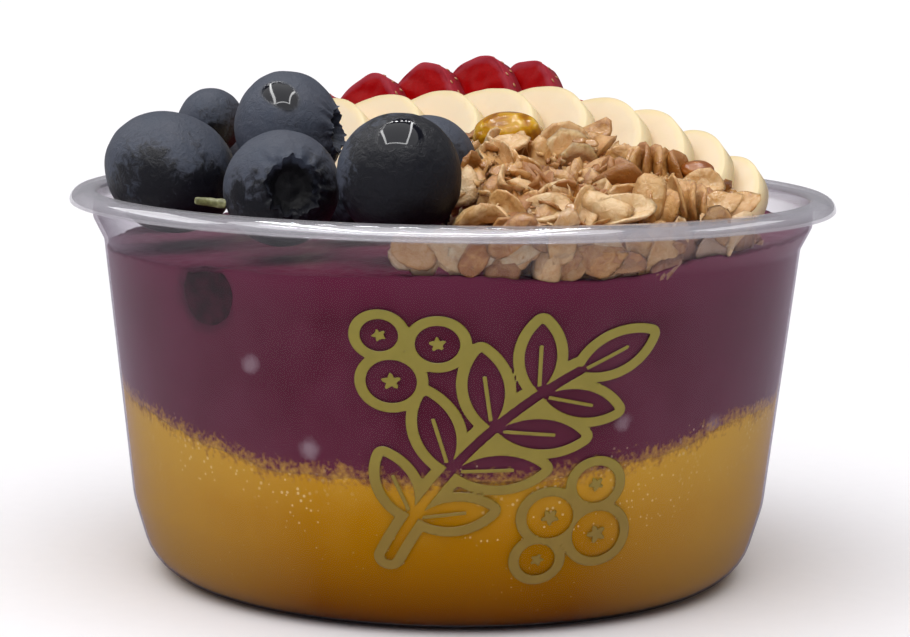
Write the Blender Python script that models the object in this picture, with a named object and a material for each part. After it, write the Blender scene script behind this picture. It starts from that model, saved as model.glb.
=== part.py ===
"""Acai bowl in its clear deli bowl.

A thin thermoformed bowl holds a mango layer under a thick acai layer. On the acai lie blueberries
(front left and round the back), a row of banana slices, a row of strawberry slices behind it and
a heap of granola at the front right.

Metres, +Z up. The origin is the centre of the flat base, and -Y is the front.
"""

import math

import bmesh
import bpy
import numpy as np
from mathutils import Matrix, Vector

# ---------------------------------------------------------------- driving dimensions
MM = 0.001
GAP = 0.3 * MM              # clearance between pieces that touch
SEGMENTS = 40               # facets round the bowl and its fillings

HEIGHT = 60.0 * MM          # base to rim
SHEET = 0.6 * MM            # wall of the formed sheet
LIP_RADIUS = 59.5 * MM      # outside of the turned-down lip
LIP_BEND = 1.3 * MM         # radius inside the lip's rounded edge
SEAT_RADIUS = 55.9 * MM     # upright band under the rim that a lid presses into
SEAT_DEPTH = 4.4 * MM
STEP_RADIUS = 54.2 * MM     # foot of the stacking step under that band
STEP_DEPTH = 7.8 * MM
SHOULDER_RADIUS = 49.7 * MM  # foot of the tapered wall
SHOULDER_HEIGHT = 11.8 * MM
HEEL_RADIUS = 8.0 * MM      # rounding between wall and base
BASE_RADIUS = 40.2 * MM     # flat face that it stands on

MANGO_LEVEL = 30.0 * MM     # where mango meets acai round the sides and back
MANGO_DIP = 6.6 * MM        # how much lower they meet at the front
MANGO_DIP_AT = -6.0         # degrees from the front, + towards +X
MANGO_DIP_WIDTH = 50.0      # degrees
ACAI_LEVEL = 53.2 * MM      # mean level of the acai at the wall
ACAI_CROWN = 0.9 * MM       # rise to the middle
ACAI_SLOPE = (0.040, 0.007)  # rise per metre along X and Y

HEAP_EDGE = 57.6 * MM       # granola where it meets the wall
HEAP_RISE = 12.6 * MM
HEAP_REACH = 15.0 * MM      # distance from the wall over which it rises
HEAP_CENTRE = (24.0 * MM, -24.0 * MM)
HEAP_WALL = 53.1 * MM       # radius at which the heap ends at the wall
HEAP_LEFT = 1.6 * MM        # its side at the blueberries
HEAP_BACK = -1.0 * MM       # its side at the banana slices

BANANA_RADIUS = 14.3 * MM
BANANA_THICKNESS = 4.2 * MM
BERRY_FLATNESS = 0.88       # height of a blueberry over its width
STRAWBERRY_LENGTH = 27.0 * MM
STRAWBERRY_WIDTH = 21.0 * MM
STRAWBERRY_THICKNESS = 4.5 * MM


# ---------------------------------------------------------------- scene helpers
def clear_scene():
    for item in list(bpy.data.objects):
        bpy.data.objects.remove(item, do_unlink=True)


def material(name, colour, roughness, metallic=0.0, alpha=1.0):
    made = bpy.data.materials.new(name)
    made.use_nodes = True
    shader = made.node_tree.nodes["Principled BSDF"]
    shader.inputs["Base Color"].default_value = (*colour, 1.0)
    shader.inputs["Roughness"].default_value = roughness
    shader.inputs["Metallic"].default_value = metallic
    shader.inputs["Alpha"].default_value = alpha
    return made


def add_object(name, mesh, finish):
    item = bpy.data.objects.new(name, mesh)
    mesh.materials.append(finish)
    bpy.context.collection.objects.link(item)
    return item


def lofted_mesh(name, rings):
    """Closed skin through rings of points, each ring counter-clockwise seen from +Z, from the lower
    pole to the upper one. The first and last entries are single points."""
    bm = bmesh.new()
    foot = bm.verts.new(rings[0])
    loops = [[bm.verts.new(point) for point in ring] for ring in rings[1:-1]]
    head = bm.verts.new(rings[-1])
    count = len(loops[0])
    for i in range(count):
        j = (i + 1) % count
        bm.faces.new((foot, loops[0][j], loops[0][i]))
        for low, high in zip(loops, loops[1:]):
            bm.faces.new((low[i], low[j], high[j], high[i]))
        bm.faces.new((loops[-1][i], loops[-1][j], head))
    bmesh.ops.triangulate(bm, faces=bm.faces[:])
    mesh = bpy.data.meshes.new(name)
    bm.to_mesh(mesh)
    bm.free()
    mesh.shade_smooth()
    mesh.set_sharp_from_angle(angle=math.radians(40))
    return mesh


def leaning_frame(place, turn, lean):
    """Matrix of a slice whose face looks forward, turned to the left and leaning back. The slice's
    own +Z is its face, and its own +Y runs up the slice."""
    turn, lean = math.radians(turn), math.radians(lean)
    across = Vector((math.cos(turn), -math.sin(turn), 0.0))
    face = Vector((-math.sin(turn) * math.cos(lean), -math.cos(turn) * math.cos(lean), math.sin(lean)))
    up = face.cross(across)
    frame = Matrix((across, up, face)).transposed().to_4x4()
    frame.translation = Vector(place)
    return frame


# ---------------------------------------------------------------- bowl and its fillings
def wall_radius(height, inset=0.0):
    """Outside radius of the wall at a height, less an inset, from the heel up to the rim."""
    heights = [HEEL_RADIUS, SHOULDER_HEIGHT, HEIGHT - STEP_DEPTH, HEIGHT - SEAT_DEPTH, HEIGHT]
    radii = [BASE_RADIUS + HEEL_RADIUS, SHOULDER_RADIUS, STEP_RADIUS, SEAT_RADIUS, SEAT_RADIUS]
    return np.interp(height, heights, radii) - inset


def quarter_arc(centre, radius, towards, steps):
    """Points (radius, height) of a quarter circle that starts level with its centre and ends above
    it (towards +1) or below it (towards -1)."""
    angles = [math.radians(90.0 * i / steps) for i in range(steps + 1)]
    return [(centre[0] + radius * math.cos(a), centre[1] + towards * radius * math.sin(a)) for a in angles]


def heel_arc(inset, steps):
    """Round the heel from the wall down to the base."""
    return quarter_arc((BASE_RADIUS, HEEL_RADIUS), HEEL_RADIUS - inset, -1, steps)


def build_bowl(finish):
    """The outer face of the sheet turned about Z, from the lip's edge over the flange and down the
    wall to the base, then thickened inwards."""
    under_flange = HEIGHT - SHEET
    bend = 0.5 * MM
    lip_centre = (LIP_RADIUS - SHEET - LIP_BEND, under_flange - LIP_BEND)
    profile = quarter_arc(lip_centre, LIP_BEND, 1, 3)
    profile += [
        (SEAT_RADIUS + bend, under_flange),
        (SEAT_RADIUS, under_flange - bend),
        (SEAT_RADIUS, HEIGHT - SEAT_DEPTH),
        (STEP_RADIUS, HEIGHT - STEP_DEPTH),
        (SHOULDER_RADIUS, SHOULDER_HEIGHT),
    ]
    profile += heel_arc(0.0, 4)
    profile.append((0.0, 0.0))

    mesh = bpy.data.meshes.new("bowl")
    points = [(radius, 0.0, height) for radius, height in profile]
    mesh.from_pydata(points, [(i, i + 1) for i in range(len(points) - 1)], [])
    bowl = add_object("bowl", mesh, finish)

    turn = bowl.modifiers.new("turn", "SCREW")
    turn.angle = math.tau
    turn.steps = turn.render_steps = SEGMENTS
    turn.use_merge_vertices = True
    turn.merge_threshold = 0.00005
    turn.use_smooth_shade = True
    wall = bowl.modifiers.new("sheet", "SOLIDIFY")
    wall.thickness = SHEET
    wall.offset = -1.0
    wall.use_even_offset = True
    return bowl


def mango_top(x, y):
    """Height where mango meets acai: level round the back, dipping in a wide scoop at the front."""
    around = np.degrees(np.arctan2(x, -y))
    dip = np.exp(-np.abs((around - MANGO_DIP_AT) / MANGO_DIP_WIDTH) ** 3)
    out = np.clip(np.hypot(x, y) / wall_radius(MANGO_LEVEL), 0.0, 1.0)
    return MANGO_LEVEL - MANGO_DIP * dip * out ** 2 - 1.5 * MM * (1.0 - out ** 2)


def acai_top(x, y):
    """Height of the acai: a slightly crowned, slightly tilted plane, pressed down under the granola
    at the front."""
    out = np.hypot(x, y) / STEP_RADIUS
    pressed = np.exp(-((x - 20 * MM) ** 2 + (y + 50 * MM) ** 2) / (13 * MM) ** 2)
    level = ACAI_LEVEL + ACAI_SLOPE[0] * x + ACAI_SLOPE[1] * y
    return level + ACAI_CROWN * (1.0 - out ** 2) - 2.0 * MM * pressed


def ring_at(radius, height):
    """Ring of points round Z; radius and height are numbers, or functions of the direction."""
    points = []
    for i in range(SEGMENTS):
        angle = math.tau * i / SEGMENTS
        r = radius(angle) if callable(radius) else radius
        x, y = r * math.cos(angle), r * math.sin(angle)
        points.append((x, y, height(x, y) if callable(height) else height))
    return points


def edge_ring(surface, inset, lift=0.0):
    """Ring where a surface meets the wall: the radius is refined against the wall's taper."""
    points = []
    for i in range(SEGMENTS):
        angle = math.tau * i / SEGMENTS
        r = STEP_RADIUS - inset
        for _ in range(6):
            z = surface(r * math.cos(angle), r * math.sin(angle)) + lift
            r = wall_radius(z, inset)
        points.append((r * math.cos(angle), r * math.sin(angle), z))
    return points


def surface_rings(surface, edge, fractions, lift=0.0):
    """Rings of a surface inside an edge ring, at the given fractions of its radius."""
    rings = []
    for part in fractions:
        rings.append([(x * part, y * part, surface(x * part, y * part) + lift) for x, y, _ in edge])
    return rings


def build_mango(finish):
    inset = SHEET + GAP
    edge = edge_ring(mango_top, inset)
    rings = [(0.0, 0.0, inset)]
    rings += [ring_at(radius, height) for radius, height in reversed(heel_arc(inset, 4))]
    rings.append(ring_at(SHOULDER_RADIUS - inset, SHOULDER_HEIGHT))
    rings.append(edge)
    rings += surface_rings(mango_top, edge, (0.8, 0.45))
    rings.append((0.0, 0.0, mango_top(0.0, 0.0)))
    return add_object("mango_layer", lofted_mesh("mango_layer", rings), finish)


def build_acai(finish):
    inset = SHEET + GAP
    foot = edge_ring(mango_top, inset, GAP)
    edge = edge_ring(acai_top, inset)

    def under_step(point):
        x, y, z = point
        height = min(HEIGHT - STEP_DEPTH, z - 0.5 * MM)
        scale = wall_radius(height, inset) / math.hypot(x, y)
        return x * scale, y * scale, height

    rings = [(0.0, 0.0, mango_top(0.0, 0.0) + GAP)]
    rings += surface_rings(mango_top, foot, (0.45, 0.8), GAP)
    rings.append(foot)
    rings.append([under_step(point) for point in edge])
    rings.append(edge)
    rings += surface_rings(acai_top, edge, (0.8, 0.5, 0.25))
    rings.append((0.0, 0.0, acai_top(0.0, 0.0)))
    return add_object("acai_layer", lofted_mesh("acai_layer", rings), finish)


# ---------------------------------------------------------------- granola
def heap_top(x, y):
    """Uneven top of the granola: rises quickly from the wall, then levels off, with lumps."""
    from_wall = np.maximum(HEAP_WALL - np.hypot(x, y), 0.0)
    rise = HEAP_RISE * (1.0 - np.exp(-from_wall / HEAP_REACH))
    right = np.clip((x - 26 * MM) / (24 * MM), 0.0, 1.0)
    lumps = np.sin(x / (3.1 * MM) + 0.7) * np.sin(y / (3.7 * MM)) + 0.6 * np.sin((x + y) / (2.3 * MM))
    return HEAP_EDGE + rise * (1.0 - 0.55 * right) + 0.55 * MM * lumps


def heap_reach(angle):
    """Distance from the heap's centre to its side: the wall, or the berries, or the bananas."""
    cx, cy = HEAP_CENTRE
    dx, dy = math.cos(angle), math.sin(angle)
    along = cx * dx + cy * dy
    reach = -along + math.sqrt(along ** 2 + HEAP_WALL ** 2 - cx ** 2 - cy ** 2)
    if dx < -1e-6:
        reach = min(reach, (HEAP_LEFT - cx) / dx)
    if dy > 1e-6:
        reach = min(reach, (HEAP_BACK - cy) / dy)
    return reach


def build_heap(finish):
    steps = 30
    cx, cy = HEAP_CENTRE

    def ring(part, height):
        points = []
        for i in range(steps):
            angle = math.tau * i / steps
            reach = part * heap_reach(angle)
            x, y = cx + reach * math.cos(angle), cy + reach * math.sin(angle)
            points.append((x, y, height(x, y)))
        return points

    def floor(x, y):
        return acai_top(x, y) + 0.5 * MM

    rings = [(cx, cy, floor(cx, cy))]
    rings += [ring(part, floor) for part in (0.5, 1.0)]
    rings += [ring(part, heap_top) for part in (1.0, 0.86, 0.68, 0.5, 0.3)]
    rings.append((cx, cy, heap_top(cx, cy)))
    return add_object("granola_heap", lofted_mesh("granola_heap", rings), finish)


# ---------------------------------------------------------------- blueberries
# name: (x, y, z of the middle in mm, widest radius in mm, direction in which the crown points)
BERRIES = {
    "blueberry_left": ((-42.6, -16.0, 62.9), 10.1, (0.42, -0.15, 0.90)),
    "blueberry_back_left": ((-39.7, 17.2, 68.5), 5.8, (0.55, -0.30, -0.30)),
    "blueberry_top": ((-25.0, -18.0, 69.9), 8.6, (0.90, -0.25, 0.25)),
    "blueberry_front": ((-24.6, -35.0, 62.8), 8.5, (0.40, -0.91, 0.03)),
    "blueberry_glossy": ((-7.7, -42.5, 65.5), 9.0, (0.22, -0.96, 0.05)),
    "blueberry_behind": ((-3.2, -18.0, 65.4), 7.3, (0.70, -0.30, 0.45)),
    "blueberry_under_a": ((-29.5, -6.2, 58.9), 5.0, (0.30, 0.60, 0.70)),
    "blueberry_under_b": ((-14.5, -19.0, 59.4), 5.8, (-0.20, 0.50, 0.80)),
    "blueberry_side": ((-46.6, 10.2, 60.2), 7.1, (-0.55, 0.20, 0.80)),
    "blueberry_back_a": ((-39.5, 27.2, 60.6), 6.7, (-0.60, 0.55, 0.55)),
    "blueberry_back_b": ((-30.8, 37.6, 60.2), 5.7, (-0.20, 0.90, 0.35)),
    "blueberry_back_c": ((-13.5, 43.2, 61.0), 7.9, (0.15, 0.75, 0.65)),
}


def berry_mesh(name, radius, flatness):
    """A blueberry about +Z: a flattened ball whose top opens in a five-lobed crown round a shallow
    crater."""
    steps = 15
    rings = [(0.0, 0.0, -flatness * radius)]
    for degrees in (-58, -28, 2, 32, 58):
        phi = math.radians(degrees)
        rings.append((math.cos(phi) * radius, math.sin(phi) * flatness * radius, 0.0))
    crown_height = flatness * radius
    rings.append((0.36 * radius, 0.94 * crown_height, 0.07))
    rings.append((0.24 * radius, 0.84 * crown_height, 0.0))

    loops = [rings[0]]
    for r, z, lobe in rings[1:]:
        loop = []
        for i in range(steps):
            angle = math.tau * i / steps
            swell = lobe * math.cos(5 * angle)
            loop.append((r * (1 + swell) * math.cos(angle), r * (1 + swell) * math.sin(angle),
                         z + swell * crown_height))
        loops.append(loop)
    loops.append((0.0, 0.0, 0.80 * crown_height))
    return lofted_mesh(name, loops)


def build_berries(finish):
    made = []
    for name, (place, radius, crown) in BERRIES.items():
        berry = add_object(name, berry_mesh(name, radius * MM, BERRY_FLATNESS), finish)
        berry.rotation_mode = "QUATERNION"
        berry.rotation_quaternion = Vector(crown).to_track_quat("Z", "Y")
        berry.location = Vector(place) * MM
        made.append(berry)
    return made


# ---------------------------------------------------------------- banana and strawberry slices
# highest point of each banana slice in mm, how far it is turned left and leans back in degrees,
# and its radius over the full one
BANANAS = [
    ((-17.0, 12.0, 72.6), 48, 40, 1.00),
    ((-8.5, 12.4, 73.4), 48, 40, 1.00),
    ((0.2, 12.8, 74.2), 48, 40, 1.00),
    ((8.8, 13.2, 74.9), 48, 40, 1.00),
    ((17.2, 13.6, 75.3), 48, 40, 1.00),
    ((26.0, 13.4, 73.6), 48, 40, 0.99),
    ((33.2, 12.8, 71.5), 48, 41, 0.95),
    ((40.2, 12.6, 68.2), 48, 43, 0.89),
    ((46.0, 12.4, 64.2), 48, 45, 0.80),
]

# tip of each strawberry slice in mm, turn and lean in degrees, size over the full one
STRAWBERRIES = [
    ((-20.8, 29.0, 73.2), 35, 20, 0.88),
    ((-11.8, 30.8, 76.4), 35, 20, 0.96),
    ((-2.7, 31.8, 78.2), 35, 20, 0.98),
    ((6.2, 33.0, 79.5), 35, 20, 1.02),
    ((14.1, 34.8, 78.7), 35, 21, 1.00),
    ((22.4, 36.4, 72.2), 35, 26, 0.90),
]


def slab_mesh(name, outline, thickness, rounding):
    """A slice in its own XY plane, its face at +Z, with a rounded edge. outline holds (x, y)."""
    half = thickness / 2

    def ring(part, height):
        return [(x * part, y * part, height) for x, y in outline]

    rings = [(0.0, 0.0, -half), ring(1.0 - rounding, -half), ring(1.0, 0.0),
             ring(1.0 - rounding, half), (0.0, 0.0, half)]
    return lofted_mesh(name, rings)


def banana_outline(radius, phase):
    """Nearly round, with three faint flats."""
    steps = 22
    points = []
    for i in range(steps):
        angle = math.tau * i / steps
        r = radius * (1.0 + 0.018 * math.cos(3 * angle + phase))
        points.append((r * math.cos(angle), r * math.sin(angle)))
    return points


def strawberry_outline(length, width):
    """Lengthways cut of a strawberry about its middle: a blunt tip up, wide shoulders below."""
    steps = 20
    points = []
    for i in range(steps):
        angle = math.tau * i / steps
        up = math.sin(angle)
        taper = (0.80 - 0.28 * up) / 0.84
        blunt = math.copysign(abs(math.cos(angle)) ** 0.78, math.cos(angle))
        points.append((width / 2 * taper * blunt, length / 2 * up))
    return points


def build_bananas(finish):
    made = []
    for number, (top, turn, lean, size) in enumerate(BANANAS, 1):
        radius = BANANA_RADIUS * size
        name = f"banana_slice_{number}"
        mesh = slab_mesh(name, banana_outline(radius, number), BANANA_THICKNESS, 0.06)
        banana = add_object(name, mesh, finish)
        frame = leaning_frame(Vector(top) * MM, turn, lean)
        banana.matrix_world = frame @ Matrix.Translation((0.0, -radius, 0.0))
        made.append(banana)
    return made


def build_strawberries(finish):
    made = []
    for number, (tip, turn, lean, size) in enumerate(STRAWBERRIES, 1):
        length = STRAWBERRY_LENGTH * size
        name = f"strawberry_slice_{number}"
        outline = strawberry_outline(length, STRAWBERRY_WIDTH * size)
        strawberry = add_object(name, slab_mesh(name, outline, STRAWBERRY_THICKNESS, 0.07), finish)
        frame = leaning_frame(Vector(tip) * MM, turn, lean)
        strawberry.matrix_world = frame @ Matrix.Translation((0.0, -length / 2, 0.0))
        made.append(strawberry)
    return made


# ---------------------------------------------------------------- clearances
def press_into(body, pieces):
    """Cuts from a body the room that each piece takes, plus the gap round it."""
    for piece in pieces:
        cutter = bpy.data.objects.new(f"room_{body.name}_{piece.name}", piece.data)
        cutter.matrix_world = piece.matrix_world
        cutter.hide_render = True
        cutter.display_type = "WIRE"
        bpy.context.collection.objects.link(cutter)
        swell = cutter.modifiers.new("gap", "DISPLACE")
        swell.mid_level = 0.0
        swell.strength = 1.3 * GAP
        cut = body.modifiers.new(f"room_{piece.name}", "BOOLEAN")
        cut.operation = "DIFFERENCE"
        cut.solver = "EXACT"
        cut.object = cutter


def build():
    clear_scene()
    clear_sheet = material("clear PET sheet", (0.85, 0.86, 0.88), 0.08, alpha=0.3)
    mango = material("mango puree", (0.50, 0.26, 0.02), 0.45)
    acai = material("acai puree", (0.085, 0.026, 0.040), 0.45)
    skin = material("blueberry skin", (0.030, 0.033, 0.048), 0.45)
    banana = material("banana flesh", (0.82, 0.66, 0.42), 0.55)
    strawberry = material("strawberry flesh", (0.30, 0.003, 0.008), 0.35)
    oats = material("toasted oats", (0.52, 0.30, 0.13), 0.7)

    build_bowl(clear_sheet)
    build_mango(mango)
    acai_layer = build_acai(acai)
    heap = build_heap(oats)
    toppings = build_berries(skin) + build_bananas(banana) + build_strawberries(strawberry)
    bpy.context.view_layer.update()
    press_into(acai_layer, toppings)
    press_into(heap, toppings)


build()
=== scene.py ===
import math

import bpy
import numpy as np
from mathutils import Matrix, Vector


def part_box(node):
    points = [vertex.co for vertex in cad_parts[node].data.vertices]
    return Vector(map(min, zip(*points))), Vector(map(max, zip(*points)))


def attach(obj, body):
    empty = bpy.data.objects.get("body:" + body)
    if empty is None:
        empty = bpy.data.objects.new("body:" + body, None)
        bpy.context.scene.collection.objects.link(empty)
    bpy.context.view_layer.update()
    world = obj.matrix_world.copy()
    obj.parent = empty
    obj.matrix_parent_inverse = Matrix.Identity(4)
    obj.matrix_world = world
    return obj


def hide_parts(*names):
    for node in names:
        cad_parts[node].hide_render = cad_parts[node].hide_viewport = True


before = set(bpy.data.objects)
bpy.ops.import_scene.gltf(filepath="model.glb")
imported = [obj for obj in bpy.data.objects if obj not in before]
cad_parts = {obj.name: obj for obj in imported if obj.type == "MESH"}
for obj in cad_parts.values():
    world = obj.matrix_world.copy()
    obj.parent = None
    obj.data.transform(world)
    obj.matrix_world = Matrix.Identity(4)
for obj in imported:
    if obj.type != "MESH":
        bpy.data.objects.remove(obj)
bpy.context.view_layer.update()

# ---------------------------------------------------------------- the bowl
# One sheet of clear PET, heated and drawn into a mould. The wall tapers down to a rounded heel. Under
# the rim it steps out twice, for stacking and for the lid, and the flange's edge is rolled over so that
# it doesn't cut. Shapes are in millimetres, and skin() turns them to metres.
MM = 0.001
SHEET = 0.6
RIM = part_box("bowl")[1].z / MM
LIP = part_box("bowl")[1].x / MM
UNDER_FLANGE = RIM - SHEET

def rounded(corners, radii, steps=8):
    """Profile of (radius, height) through corners. Each inner corner becomes an arc of its own radius
    that touches both of its sides."""
    corners = np.array(corners, float)
    points = [corners[0]]
    for before, corner, after, radius in zip(corners, corners[1:], corners[2:], radii):
        back = (before - corner) / np.linalg.norm(before - corner)
        on = (after - corner) / np.linalg.norm(after - corner)
        middle = (back + on) / np.linalg.norm(back + on)
        half = math.acos(middle @ on)
        across = (on - back) / np.linalg.norm(on - back)
        centre = corner + middle * radius / math.sin(half)
        for sweep in np.linspace(-1.0, 1.0, steps + 1) * (math.pi / 2 - half):
            points.append(centre - middle * radius * math.cos(sweep) + across * radius * math.sin(sweep))
    points.append(corners[-1])
    return np.array(points)

def finer(profile, longest):
    """The same profile with its long straight stretches cut into steps no longer than the given one."""
    parts = [profile[:1]]
    for start, end in zip(profile, profile[1:]):
        count = math.ceil(np.linalg.norm(end - start) / longest)
        parts.append(start + (end - start) * (np.arange(1, count + 1) / count)[:, None])
    return np.vstack(parts)

def turned(profile, columns):
    """Rows of points: the profile turned round Z."""
    around = np.arange(columns) * math.tau / columns
    radius, height = profile[:, :1], profile[:, 1:]
    return np.stack([radius * np.cos(around), radius * np.sin(around), height + 0 * around], -1)

def mesh_piece(name, points, polygons, values):
    """A smooth shaded object from points in millimetres, arrays of faces with equally many corners in
    each array, and one named number for each point."""
    mesh = bpy.data.meshes.new(name)
    loops = np.concatenate([faces.ravel() for faces in polygons])
    sizes = np.concatenate([np.full(len(faces), faces.shape[1]) for faces in polygons])
    mesh.vertices.add(len(points))
    mesh.vertices.foreach_set("co", (points * MM).astype(np.float32).ravel())
    mesh.loops.add(len(loops))
    mesh.loops.foreach_set("vertex_index", loops.astype(np.int32))
    mesh.polygons.add(len(sizes))
    mesh.polygons.foreach_set("loop_start", (np.cumsum(sizes) - sizes).astype(np.int32))
    mesh.update(calc_edges=True)
    mesh.shade_smooth()
    for label, numbers in values.items():
        layer = mesh.attributes.new(label, "FLOAT", "POINT")
        layer.data.foreach_set("value", np.asarray(numbers, np.float32).ravel())
    piece = bpy.data.objects.new(name, mesh)
    bpy.context.scene.collection.objects.link(piece)
    return piece

def skin(name, points, values=None):
    """A closed surface through rows of points. Each row goes once round, counter-clockwise seen from
    beyond the last row, and the first and last rows shrink to one point each."""
    rows, columns = points.shape[:2]
    ring = np.arange(columns)
    after = (ring + 1) % columns
    row = (np.arange(rows - 3) * columns + 1)[:, None]
    last = (rows - 3) * columns + 1
    quads = np.stack([row + ring, row + after, row + columns + after, row + columns + ring], -1)
    foot = np.stack([0 * ring, 1 + after, 1 + ring], -1)
    head = np.stack([last + ring, last + after, last + columns + 0 * ring], -1)

    def joined(grid):
        return np.concatenate([grid[0, :1], grid[1:-1].reshape(-1, *grid.shape[2:]), grid[-1, :1]])

    values = {label: joined(grid) for label, grid in (values or {}).items()}
    return mesh_piece(name, joined(points), [quads.reshape(-1, 4), foot, head], values)

outer = rounded(
    [(0, 0.3), (33, 0.3), (34, 0), (46.2, 0), (49.7, 11.8), (54.2, RIM - 7.8), (55.9, RIM - 4.4),
     (55.9, UNDER_FLANGE), (LIP - SHEET, UNDER_FLANGE), (LIP - SHEET, RIM - 1.9)],
    [1.2, 1.2, 8.0, 14.0, 0.7, 1.1, 0.5, 1.3])
outer = finer(outer, 3.0)
along = np.gradient(outer, axis=0)
along /= np.linalg.norm(along, axis=1)[:, None]
inner = outer + SHEET * np.stack([-along[:, 1], along[:, 0]], -1)
inner[0, 0] = 0.0
lip_end = (outer[-1] + inner[-1]) / 2
edge_arc = [lip_end + SHEET / 2 * np.array([-math.cos(turn), -math.sin(turn)])
            for turn in np.linspace(0.0, math.pi, 7)[1:-1]]
bowl = skin("clear_bowl", turned(np.vstack([outer, edge_arc, inner[::-1]]), 288))

def linear(colour, alpha=1.0):
    """sRGB hex to the linear numbers that shaders take."""
    channels = [int(colour[i:i + 2], 16) / 255 for i in (1, 3, 5)]
    return (*[c / 12.92 if c <= 0.04045 else ((c + 0.055) / 1.055) ** 2.4 for c in channels], alpha)

def node(tree, kind, links=None, stops=None, **settings):
    """Adds a shader node. settings are its own properties, links are its inputs by name or number, each a
    value or another node's output, and stops are a ramp's (place, colour) pairs."""
    made = tree.nodes.new(kind)
    for label, value in settings.items():
        setattr(made, label, value)
    for label, value in (links or {}).items():
        if isinstance(value, bpy.types.NodeSocket):
            tree.links.new(value, made.inputs[label])
        else:
            made.inputs[label].default_value = value
    if stops:
        ramp = made.color_ramp
        while len(ramp.elements) < len(stops):
            ramp.elements.new(0.5)
        for element, (place, colour) in zip(ramp.elements, stops):
            element.position = place
            element.color = linear(colour)
    return made

def new_finish(name):
    """An empty material, its tree, and its coordinates in millimetres."""
    finish = bpy.data.materials.new(name)
    finish.use_nodes = True
    tree = finish.node_tree
    tree.nodes.clear()
    place = node(tree, "ShaderNodeTexCoord").outputs["Object"]
    mm = node(tree, "ShaderNodeMapping", {"Vector": place, "Scale": (1 / MM,) * 3}).outputs[0]
    return finish, tree, mm

# Clear PET, drawn hot: it bends hardly anything behind it, mirrors more the flatter it's seen, and turns
# grey where the eye looks along the sheet. The flange is a little hazy from the cutting die.
pet, tree, mm = new_finish("clear thermoformed PET")
height = node(tree, "ShaderNodeSeparateXYZ", {0: mm}).outputs[2]
flange = node(tree, "ShaderNodeMapRange", {0: height, 1: RIM - 2.9, 2: RIM - 1.7, 3: 0.0, 4: 1.0}).outputs[0]
facing = node(tree, "ShaderNodeLayerWeight", {"Blend": 0.5}).outputs["Facing"]
wall_tint = node(tree, "ShaderNodeMix", {0: facing, 6: linear("#fefefe"), 7: linear("#efedf1")},
                 data_type="RGBA").outputs[2]
rim_tint = node(tree, "ShaderNodeMix", {0: facing, 6: linear("#f3f2f4"), 7: linear("#d3d1d6")},
                data_type="RGBA").outputs[2]
tint = node(tree, "ShaderNodeMix", {0: flange, 6: wall_tint, 7: rim_tint}, data_type="RGBA").outputs[2]
clear = node(tree, "ShaderNodeBsdfTransparent", {"Color": tint})
draw = node(tree, "ShaderNodeTexNoise", {"Vector": mm, "Scale": 1 / 12, "Detail": 2.0}).outputs[0]
wall_shine = node(tree, "ShaderNodeMix", {0: facing, 6: linear("#4a4a4f"), 7: linear("#a49aa6")},
                  data_type="RGBA").outputs[2]
shine = node(tree, "ShaderNodeMix", {0: flange, 6: wall_shine, 7: linear("#f8f8fa")},
             data_type="RGBA").outputs[2]
smooth = node(tree, "ShaderNodeMapRange", {0: draw, 1: 0.3, 2: 0.7, 3: 0.03, 4: 0.09}).outputs[0]
mirror = node(tree, "ShaderNodeBsdfGlossy", {"Color": shine, "Roughness": smooth})
haze = node(tree, "ShaderNodeBsdfDiffuse", {"Color": linear("#dad8dd")})
steep = node(tree, "ShaderNodeMath", {0: facing, 1: 5.0}, operation="POWER").outputs[0]
head_on = node(tree, "ShaderNodeMapRange", {0: flange, 1: 0.0, 2: 1.0, 3: 0.045, 4: 0.13}).outputs[0]
fresnel = node(tree, "ShaderNodeMath", {0: steep, 1: 0.80, 2: head_on}, operation="MULTIPLY_ADD").outputs[0]
glassy = node(tree, "ShaderNodeMixShader", {0: fresnel, 1: clear.outputs[0], 2: mirror.outputs[0]})
low_haze = node(tree, "ShaderNodeMapRange", {0: height, 1: 52.5, 2: 57.0, 3: 0.0, 4: 0.05}).outputs[0]
hazy = node(tree, "ShaderNodeMapRange", {0: flange, 1: 0.0, 2: 1.0, 3: low_haze, 4: 0.21}).outputs[0]
sheet = node(tree, "ShaderNodeMixShader", {0: hazy, 1: glassy.outputs[0], 2: haze.outputs[0]})
node(tree, "ShaderNodeOutputMaterial", {0: sheet.outputs[0]})
bowl.data.materials.append(pet)
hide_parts("bowl")
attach(bowl, "root")

# ---------------------------------------------------------------- the mango layer
# Frozen mango puree, poured first. It fills the foot of the bowl and clings to the wall, with fine air
# bubbles and frost near the line where the acai lies on it. The two layers meet in a scoop at the front.
WALL = outer[(outer[:, 0] > 35) & (outer[:, 1] < RIM - 1.5)]
PRESSED_IN = 0.32        # how far inside the wall's outer face the fillings end, so that no air shows
FILL_COLUMNS = 400
around = np.arange(FILL_COLUMNS) * math.tau / FILL_COLUMNS
from_front = (np.degrees(around) + 90 + 180) % 360 - 180

def ripple(points, length, seed, waves=14):
    """Smooth uneven relief, mostly between -1 and 1: a sum of sine waves in random directions, each
    about as long as given."""
    rng = np.random.default_rng(seed)
    ways = rng.normal(size=(waves, 3))
    ways *= math.tau / length * rng.uniform(0.6, 1.5, (waves, 1)) / np.linalg.norm(ways, axis=1)[:, None]
    return np.sin(points @ ways.T + rng.uniform(0, math.tau, waves)).sum(-1) / math.sqrt(waves)

def wall_radius(height):
    """Outside radius of the bowl's wall at a height."""
    return np.interp(height, WALL[:, 1], WALL[:, 0])

def on_wall(height, inset=PRESSED_IN):
    """Points on a ring just inside the wall's outer face, at a height for each direction."""
    radius = wall_radius(height) - inset
    return np.stack([radius * np.cos(around), radius * np.sin(around), height + 0 * around], -1)

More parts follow.
